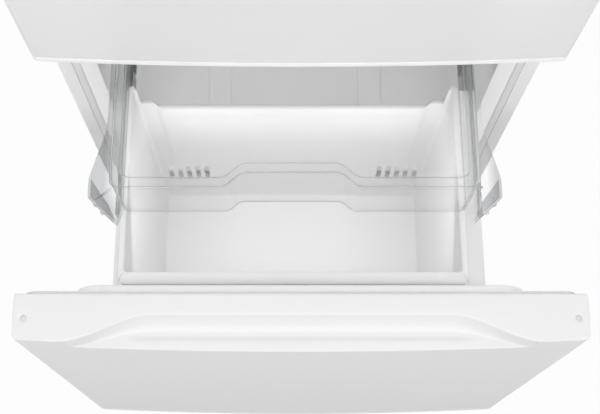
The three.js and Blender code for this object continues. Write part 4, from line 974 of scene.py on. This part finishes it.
# %% [markdown]
# ## The door's inner side
#
# The door's liner is a formed sheet with a raised frame, the dyke, which holds two clear bins. It is
# one skin: from the sheet's edge in, up and over the dyke, and down to the sunk field in its middle.

# %% Door liner
DOOR_DYKE_HALF, DOOR_DYKE_LOW, DOOR_DYKE_HIGH, DYKE_WIDE = 312, 798, 1606, 16
box = span("door_liner")
dyke = (Vector((-DOOR_DYKE_HALF, 0, DOOR_DYKE_LOW)), Vector((DOOR_DYKE_HALF, 0, DOOR_DYKE_HIGH)))
base, crest = box[0].y + WALL, box[1].y
steps = [(box, 0.8, box[0].y, 6), (box, 0, base - 0.8, 6), (box, 0.8, base, 6), (dyke, -4, base, 26),
         (dyke, -1, base + 1.2, 23), (dyke, 0, base + 5, 22), (dyke, 0, crest - 5, 22),
         (dyke, 1.2, crest - 1.4, 21), (dyke, 4.5, crest, 18), (dyke, 11.5, crest, 12),
         (dyke, DYKE_WIDE - 1.2, crest - 1.4, 10), (dyke, DYKE_WIDE, crest - 5, 9),
         (dyke, DYKE_WIDE, base + 5, 9), (dyke, DYKE_WIDE + 1.2, base + 1.2, 8),
         (dyke, DYKE_WIDE + 5, base, 6)]
piece("door_inner_panel", ringed([frame_row(*step) for step in steps]), "door_liner")

# %% [markdown]
# ## The door's handle
#
# A moulded bar that stands off the door on two sloping feet. Its side view is one closed outline
# with round corners. It is extruded to its width, and its long edges get a wide bevel.

# %% Handle
handle_low, handle_high = span("door_handle")
STAND, TOE, FOOT_LONG, SLOPE = 34, 8, 46, 20
wall, grip, face = handle_high.y, handle_high.y - STAND, handle_low.y
low, high = handle_low.z, handle_high.z
side_view = [(wall, low), (wall, low + FOOT_LONG - SLOPE), (grip, low + FOOT_LONG + SLOPE),
             (grip, high - FOOT_LONG - SLOPE), (wall, high - FOOT_LONG + SLOPE), (wall, high),
             (wall - TOE, high), (face, high - FOOT_LONG), (face, low + FOOT_LONG), (wall - TOE, low)]
side_view = rounded(side_view, [1, 1, 26, 26, 1, 1, 5, 34, 34, 5], 6, closed=True)
handle = prism(side_view, "x", handle_low.x, handle_high.x, 6, 4)
piece("door_handle_bar", handle, "door_handle")

# %% [markdown]
# ## Clear bins and crispers
#
# Bins and crispers are clear vessels, built from rings as the basket is. A crisper's front has a
# pull, a flat bar below its rim.


# %% Vessels
CLEAR_WALL, BEAD_OUT = 2.4, 1.2


def vessel(low, high, wall, fillet, corner, taper, lip):
    """An open box with a rounded bottom; its lip is a small outward bead at the rim."""
    floor, tall = low.z + wall, high.z - low.z - wall
    inner = [(-wall - lip - inwards, up) for inwards, up in quarter(fillet, 4)]
    outer = [(-lip - inwards, up - wall) for inwards, up in reversed(quarter(fillet + wall, 4))]
    rim = [(-wall - lip, tall - 1), (-wall - lip + 0.5, tall), (-0.5, tall), (0, tall - 0.6),
           (0, tall - 3.4), (-0.5, tall - 4), (-lip, tall - 4.4)]

    def ring(grow, level):
        lean = taper * (1 - level / tall)
        return frame_row((low, high), lean - grow, floor + level, max(corner + 0.5 * grow, 2), "z", 5)

    return ringed([ring(*step) for step in (*inner, *rim, *outer)])


for node in ("door_bin_upper", "door_bin_lower"):
    piece(node + "_vessel", vessel(*span(node), CLEAR_WALL, 9, 12, 1.5, BEAD_OUT), node)

PULL_REACH, PULL_INSET, PULL_THICK, PULL_DROP = 10, 40, 5, 18
for _, word in SIDES:
    node = "crisper_" + word
    low, high = span(node)
    body = vessel(Vector((low.x, low.y + PULL_REACH, low.z)), high, CLEAR_WALL, 12, 14, 2.5, BEAD_OUT)
    pull_low = (low.x + PULL_INSET, low.y, high.z - PULL_DROP - PULL_THICK)
    pull_high = (high.x - PULL_INSET, low.y + PULL_REACH + 2.2, high.z - PULL_DROP)
    pull = block(bmesh.new(), pull_low, pull_high, 1.8, 3)
    piece(node + "_vessel", combine(body, pull, "UNION"), node)

# %% [markdown]
# ## Shelves
#
# A shelf is a pane of float glass in a moulded white frame. The frame is a ring with a rounded top
# edge and a step that the pane lies in.

# %% Shelves
FRAME_WIDE, STEP_WIDE, PANE, PANE_DROP, PANE_CORNER, PANE_GAP = 22, 7, 4, 1, 6, 0.2
for node in SHELVES:
    box = span(node)
    top, low = box[1].z, box[0].z
    seat = top - PANE_DROP - PANE - PANE_GAP
    inner = FRAME_WIDE - STEP_WIDE
    rows = [frame_row(box, inset, z, 12 - 0.4 * inset, "z", 5) for inset, z in (
        (1.5, low), (0.3, low + 0.6), (0, low + 2), (0, top - 2.4), (0.7, top - 0.7), (2.4, top),
        (inner - 0.5, top), (inner, top - 0.5), (inner, seat), (FRAME_WIDE, seat), (FRAME_WIDE, low),
        (1.5, low))]
    piece(node + "_frame", ringed(rows), node, slot="white_plastic")
    plan = [(x, y) for x, y, z in frame_row(box, inner + 0.4, 0, PANE_CORNER, "z", 5)]
    pane = prism(plan, "z", seat + PANE_GAP, top - PANE_DROP, 0.6, 2)
    piece(node + "_pane", pane, node, slot="shelf_glass")

# %% [markdown]
# ## The temperature knob
#
# The knob is turned from a profile, with a grip bar across its face. Seven plain dots stand on the
# housing around it, one for each step.

# %% Knob
knob_low, knob_high = span("temperature_knob")
centre = (knob_low + knob_high) / 2
radius = (knob_high.x - knob_low.x) / 2
KNOB_DEEP, GRIP_HALF_WIDE = 10, 2.6
MARKS, MARK_FIRST, MARK_STEP = 7, -120, 40    # the dots: how many, and their angles in degrees
profile = [(0, 0), (radius - 1.2, 0), (radius, -1.2), (radius - 0.8, -KNOB_DEEP + 1.5),
           (radius - 2.2, -KNOB_DEEP), (0, -KNOB_DEEP)]
knob = turned(bmesh.new(), profile, "y", (centre.x, knob_high.y, centre.z), 48)
grip = block(bmesh.new(), (centre.x - GRIP_HALF_WIDE, knob_low.y, centre.z - radius + 1.5),
             (centre.x + GRIP_HALF_WIDE, knob_high.y - KNOB_DEEP + 1, centre.z + radius - 1.5), 1.1, 3)
piece("knob_turned", combine(knob, grip, "UNION"), "temperature_knob")
marks = bmesh.new()
housing_front = span("control_housing")[0].y
DOT = ((0, 0.3), (0.55, 0.3), (0.55, -0.2), (0.4, -0.4), (0, -0.4))
for k in range(MARKS):
    angle = math.radians(MARK_FIRST + MARK_STEP * k)
    reach = radius + (0.9 if k < MARKS - 1 else 0.5)
    place = (centre.x + reach * math.sin(angle), housing_front, centre.z + reach * math.cos(angle))
    turned(marks, DOT, "y", place, 12)
piece("knob_marks", marks, "control_housing", slot="grey_plastic", replace=False)

# %% [markdown]
# ## The clear tray
#
# The tray above the basket is clear. Its front has a hand recess, its rim turns inwards as a broad
# flange, and at both front corners its side flange flares out into an ear that drops to the rail.
# Walls, flanges, ears and runners are closed shapes that are united, because the light in a clear
# part must meet no faces inside the wall. Three thin beads run round the tray: at the flange's inner
# edge, at the rim and at the foot of the wall. They bend light a little. Their grey tint is painted
# shade that draws the fine dark lines which refraction shows along the tray's edges.

# %% The tray's walls
tray_low, tray_high = span("upper_tray")
TRAY_HALF, EAR_REACH = 262, 21
RECESS_HALF, RECESS_RAMP, RECESS_DEEP, RECESS_SHIFT = 70, 25, 22, -5
tray_middle = (tray_low.x + tray_high.x) / 2
tray_front = tray_low.y + EAR_REACH
tray_floor = basket_high.z + 7
tray_tall = tray_high.z - tray_floor


def tray_ring(grow, level):
    """The tray's outline at a level above its floor; the recess grows shallower downwards."""
    fall = 1 - level / tray_tall
    half, front, back = TRAY_HALF + grow, tray_front - grow, tray_high.y + grow
    deep = front + RECESS_DEEP - 7 * fall
    flat = RECESS_HALF + 8 * fall
    ramp = flat + RECESS_RAMP - 11 * fall
    recess = ((-ramp, front), (-flat, deep), (flat, deep), (ramp, front))
    recess = [(x + RECESS_SHIFT, y) for x, y in recess]
    corners = [(-half, back), (-half, front), *recess, (half, front), (half, back)]
    plan = rounded(corners, [12, 14, 9, 9, 9, 9, 14, 12], 5, closed=True)
    return [(tray_middle + x, y, tray_floor + level) for x, y in plan]


FLANGE_IN, TRAY_WALL, TRAY_FILLET = 16, 2.3, 4
inside = [(-TRAY_WALL - 1 - inwards, up + TRAY_WALL) for inwards, up in quarter(TRAY_FILLET, 5)]
outside = [(-1 - inwards, up) for inwards, up in reversed(quarter(TRAY_FILLET + TRAY_WALL, 5))]
rim = [(-3.3, -6), (-4, -3.4), (-6, -2.6), (-FLANGE_IN + 2.4, -2.6), (-FLANGE_IN + 1.4, -3.6),
       (-FLANGE_IN + 0.4, -3.6), (-FLANGE_IN, -2.8), (-FLANGE_IN, -0.8), (-FLANGE_IN + 0.8, 0), (-2.6, 0),
       (-0.8, -0.8), (0, -2.6), (0, -8.4), (-0.3, -9), (-1, -9.4)]
over = [(grow, tray_tall + up) for grow, up in rim]
tray = ringed([tray_ring(*step) for step in (*inside, *over, *outside)])

# %% The tray's flanges, ears and runners
SIDE_FLANGE, PLATE, EAR_HALF, EAR_LAND, EAR_FLARE, EAR_LEAN = 6, 2.5, 290, 14, 90, 18
EAR_WALL, EAR_TIP, EAR_HOOK = 3, 6, 8
RUN_LEVEL, RUN_WIDE = 6, 3            # the runner that lies on the rail
BOSSES = ((96, 1.0), (62, 0.4))       # small knobs on an ear: level, and how far they stand out
EAR_SHARES = (0, 0.15, 0.3, 0.45, 0.6, 0.75, 0.9, 0.985)
FLAP_DROP = 0.1                       # keeps the flange's top clear of the rim's
tip = tray_low.y
land = tray_front + EAR_LAND


def mirrored(points, side):
    """Points of the tray's right side in plan, moved to either side."""
    return [(tray_middle + side * x, y) for x, y in points]


def ear_row(side, level):
    """The ear's wall in plan; it leans inwards towards its lower front."""
    lean = EAR_LEAN * (1 - level / tray_tall) ** 1.2
    outer = EAR_HALF - lean
    root = (TRAY_HALF - 6, tray_front + 4.2)
    line = [(EAR_HALF - EAR_WALL - 0.3 * lean, land), (EAR_HALF - 0.3 * lean, land), (outer, tip + EAR_TIP),
            (outer - EAR_TIP, tip), root, (root[0] + 2.4, root[1] + 1.8),
            (outer - EAR_TIP + 0.4, tip + 4.5), (outer - EAR_WALL, tip + 7.5)]
    plan = rounded(mirrored(line, side), [1, 1, 3, 2, 0.4, 0.4, 1, 2], 3, closed=True)
    return [(x, y, tray_floor + level) for x, y in plan]


for side, word in SIDES:
    wall, brim = TRAY_HALF - 9, TRAY_HALF + SIDE_FLANGE
    flap = [(wall, tray_high.y - 12), (brim, tray_high.y - 12), (brim, tray_front + EAR_FLARE),
            (EAR_HALF, land), (EAR_HALF, tip + EAR_TIP), (EAR_HALF - EAR_TIP, tip),
            (brim, tip + EAR_HOOK), (wall - 4, tray_front + 3)]
    plan = rounded(mirrored(flap, side), [1, 2, 20, 10, 4, 4, 6, 2], 4, closed=True)
    plate = prism(plan, "z", tray_high.z - PLATE, tray_high.z - FLAP_DROP, 0.7, 2)
    ear = ringed([ear_row(side, tray_tall * share) for share in EAR_SHARES])
    rail_low, rail_high = span("drawer_rail_" + word)
    outer = side * (max(abs(rail_low.x), abs(rail_high.x)) - 1)
    inner = outer - side * RUN_WIDE
    tuck = tray_middle + side * (TRAY_HALF - 2.4)
    run_top, run_foot = tray_floor + RUN_LEVEL, rail_high.z + GAP
    section = [(outer, run_foot), (outer, run_top), (tuck, run_top), (tuck, run_top - WALL),
               (inner, run_top - WALL), (inner, run_foot)]
    runner = prism(rounded(section, 0.7, 2, closed=True), "y", tip + EAR_HOOK + 10, tray_high.y - 6, 0.6, 1)
    for part in (plate, ear, runner):
        tray = combine(tray, part, "UNION")
    for level, out in BOSSES:
        nose = min(ear_row(side, level), key=lambda point: point[1])
        boss = turned(bmesh.new(), [(0, -4), (2.8, -2.8), (4, 0), (2.8, 2.8), (0, 4)], "x",
                      (nose[0], nose[1] + out, nose[2]), 16)
        tray = combine(tray, boss, "UNION")

RIB_WIDE = 2
rib_at = tray_middle + RECESS_SHIFT
rib = block(bmesh.new(), (rib_at - RIB_WIDE / 2, tray_front + RECESS_DEEP + 2, tray_high.z - 3),
            (rib_at + RIB_WIDE / 2, tray_front + RECESS_DEEP + FLANGE_IN - 1, tray_high.z + 0.9), 0.4, 1)
tray = combine(tray, rib, "UNION")
piece("clear_tray", tray, "upper_tray").data.materials[0] = TRAY_PLASTIC

# Beads with a painted grey tint, which draw the dark lines along the tray's edges.
BEAD = 0.9
beads = bmesh.new()
angles = [math.pi * k / 4 for k in range(9)]
for grow, level in ((BEAD - FLANGE_IN, tray_tall - 1.8), (-1.1, tray_tall - 1.5), (-2.6, 2.2)):
    skin(beads, [tray_ring(grow + BEAD * math.cos(a), level + BEAD * math.sin(a)) for a in angles],
         closed=True)
bmesh.ops.recalc_face_normals(beads, faces=beads.faces)
piece("tray_beads", beads, "upper_tray", replace=False).data.materials[0] = BEAD_LINE_SHADE

# %% [markdown]
# ## The floor and the light
#
# The refrigerator stands on a white studio floor. Seen by the camera the floor is nearly pure
# white, and it keeps a trace of the object's shadow. The light is plain: a sky of even white and
# one wide soft box in front, which gives the long highlights along rims and folds. A real
# photographer would also lift what lies deep or faces away with reflectors. Light linking does that
# here: each fill lamp shines on the named pieces only, and nothing else is lit twice. The two lamps
# for the freezer's mouth also reach it past all other pieces. All lamps are soft and of one white.


# %% Floor and sky
FLOOR_WHITE = 0.975       # how much of the floor that is seen is plain white


def pale_floor():
    """White where it is seen, directly or in a gloss or through glass, and grey where it lights."""
    material, tree = new_tree("studio_floor")
    path = add(tree, "LightPath").outputs
    seen = path["Is Camera Ray"]
    for ray in ("Is Glossy Ray", "Is Transmission Ray"):
        seen = add(tree, "Math", {"operation": "MAXIMUM"}, {0: seen, 1: path[ray]}).outputs[0]
    share = add(tree, "Math", {"operation": "MULTIPLY", 1: FLOOR_WHITE}, {0: seen})
    paint = add(tree, "BsdfDiffuse", {"Color": linear("#8c8c8c")})
    glow = add(tree, "Emission", {"Strength": 1.0})
    mixed = add(tree, "MixShader", {}, {0: share.outputs[0], 1: paint.outputs[0], 2: glow.outputs[0]})
    add(tree, "OutputMaterial", {}, {"Surface": mixed.outputs[0]})
    return material


grid = bmesh.new()
bmesh.ops.create_grid(grid, x_segments=1, y_segments=1, size=20)
bmesh.ops.translate(grid, vec=(0, 0, -0.0005), verts=grid.verts)
floor = placed("floor", to_mesh(grid, "floor"))
floor.data.materials.append(pale_floor())

SKY = 0.80                # even light from all round
world = bpy.data.worlds.new("sky")
world.use_nodes = True
tree = world.node_tree
tree.nodes.clear()
path = add(tree, "LightPath").outputs
seen = add(tree, "MapRange", {"To Min": SKY, "To Max": 1.0}, {"Value": path["Is Camera Ray"]})
sky = add(tree, "Background", {"Color": (1, 1, 1, 1)}, {"Strength": seen.outputs["Result"]})
add(tree, "OutputWorld", {}, {"Surface": sky.outputs[0]})
bpy.context.scene.world = world


def lamp(name, size, power, location, towards, only=(), reach=False):
    """An area lamp that shines one way; it lights some pieces only, and may reach them past others."""
    data = bpy.data.lights.new(name, "AREA")
    data.shape = "RECTANGLE"
    data.size, data.size_y = size
    data.energy = power
    made = placed(name, data)
    made.location = location
    made.rotation_euler = Vector(towards).to_track_quat("-Z", "Y").to_euler()
    made.visible_camera = False
    if only:
        made.visible_glossy = made.visible_transmission = False
        lit = bpy.data.collections.new(name + "_lights")
        for other in only:
            lit.objects.link(bpy.data.objects[other])
        made.light_linking.receiver_collection = lit
        if reach:
            made.light_linking.blocker_collection = lit


def soft_box(name, size, power, height, only=(), turn=0, reach=False):
    """A wide lamp far away, at a height in degrees, turned about the vertical from the front."""
    angle, swing = math.radians(height), math.radians(turn)
    flat = math.cos(angle)
    towards = Vector((-flat * math.sin(swing), flat * math.cos(swing), -math.sin(angle)))
    lamp(name, size, power, LAMP_AIM - LAMP_AWAY * towards, towards, only, reach)


LAMP_AIM, LAMP_AWAY = Vector((0, 0.08, 0.15)), 8
BAR, PANEL = (8, 1), (6, 3)           # lamp sizes in metres
BASKET = "basket_moulding"
soft_box("front_soft_box", BAR, 145, 40)
soft_box("fill_behind", BAR, 140, 40, ("door_front", "door_bottom_cap_moulding", "cabinet_sheet"))
soft_box("fill_edge", PANEL, 135, 88, ("drawer_inner_panel", "drawer_gasket_folds"))
soft_box("fill_rim", PANEL, 140, 80, (BASKET, "drawer_rail_left_fold", "drawer_rail_right_fold"))
lamp("fill_room", (0.5, 0.2), 0.76, (-0.05, 0.1, 0.62), (0, 0, -1), ("freezer_compartment",))
for side, word in SIDES:
    soft_box("fill_mouth_" + word, BAR, 380, 0, ("freezer_mouth",), side * 55, True)
    place = (side * 0.13 - 0.012, -0.33, 0.56)
    lamp("fill_basket_" + word, (0.2, 0.18), 0.133, place, (0, 0.5, -1), (BASKET,))
bpy.context.scene.view_settings.view_transform = "Standard"
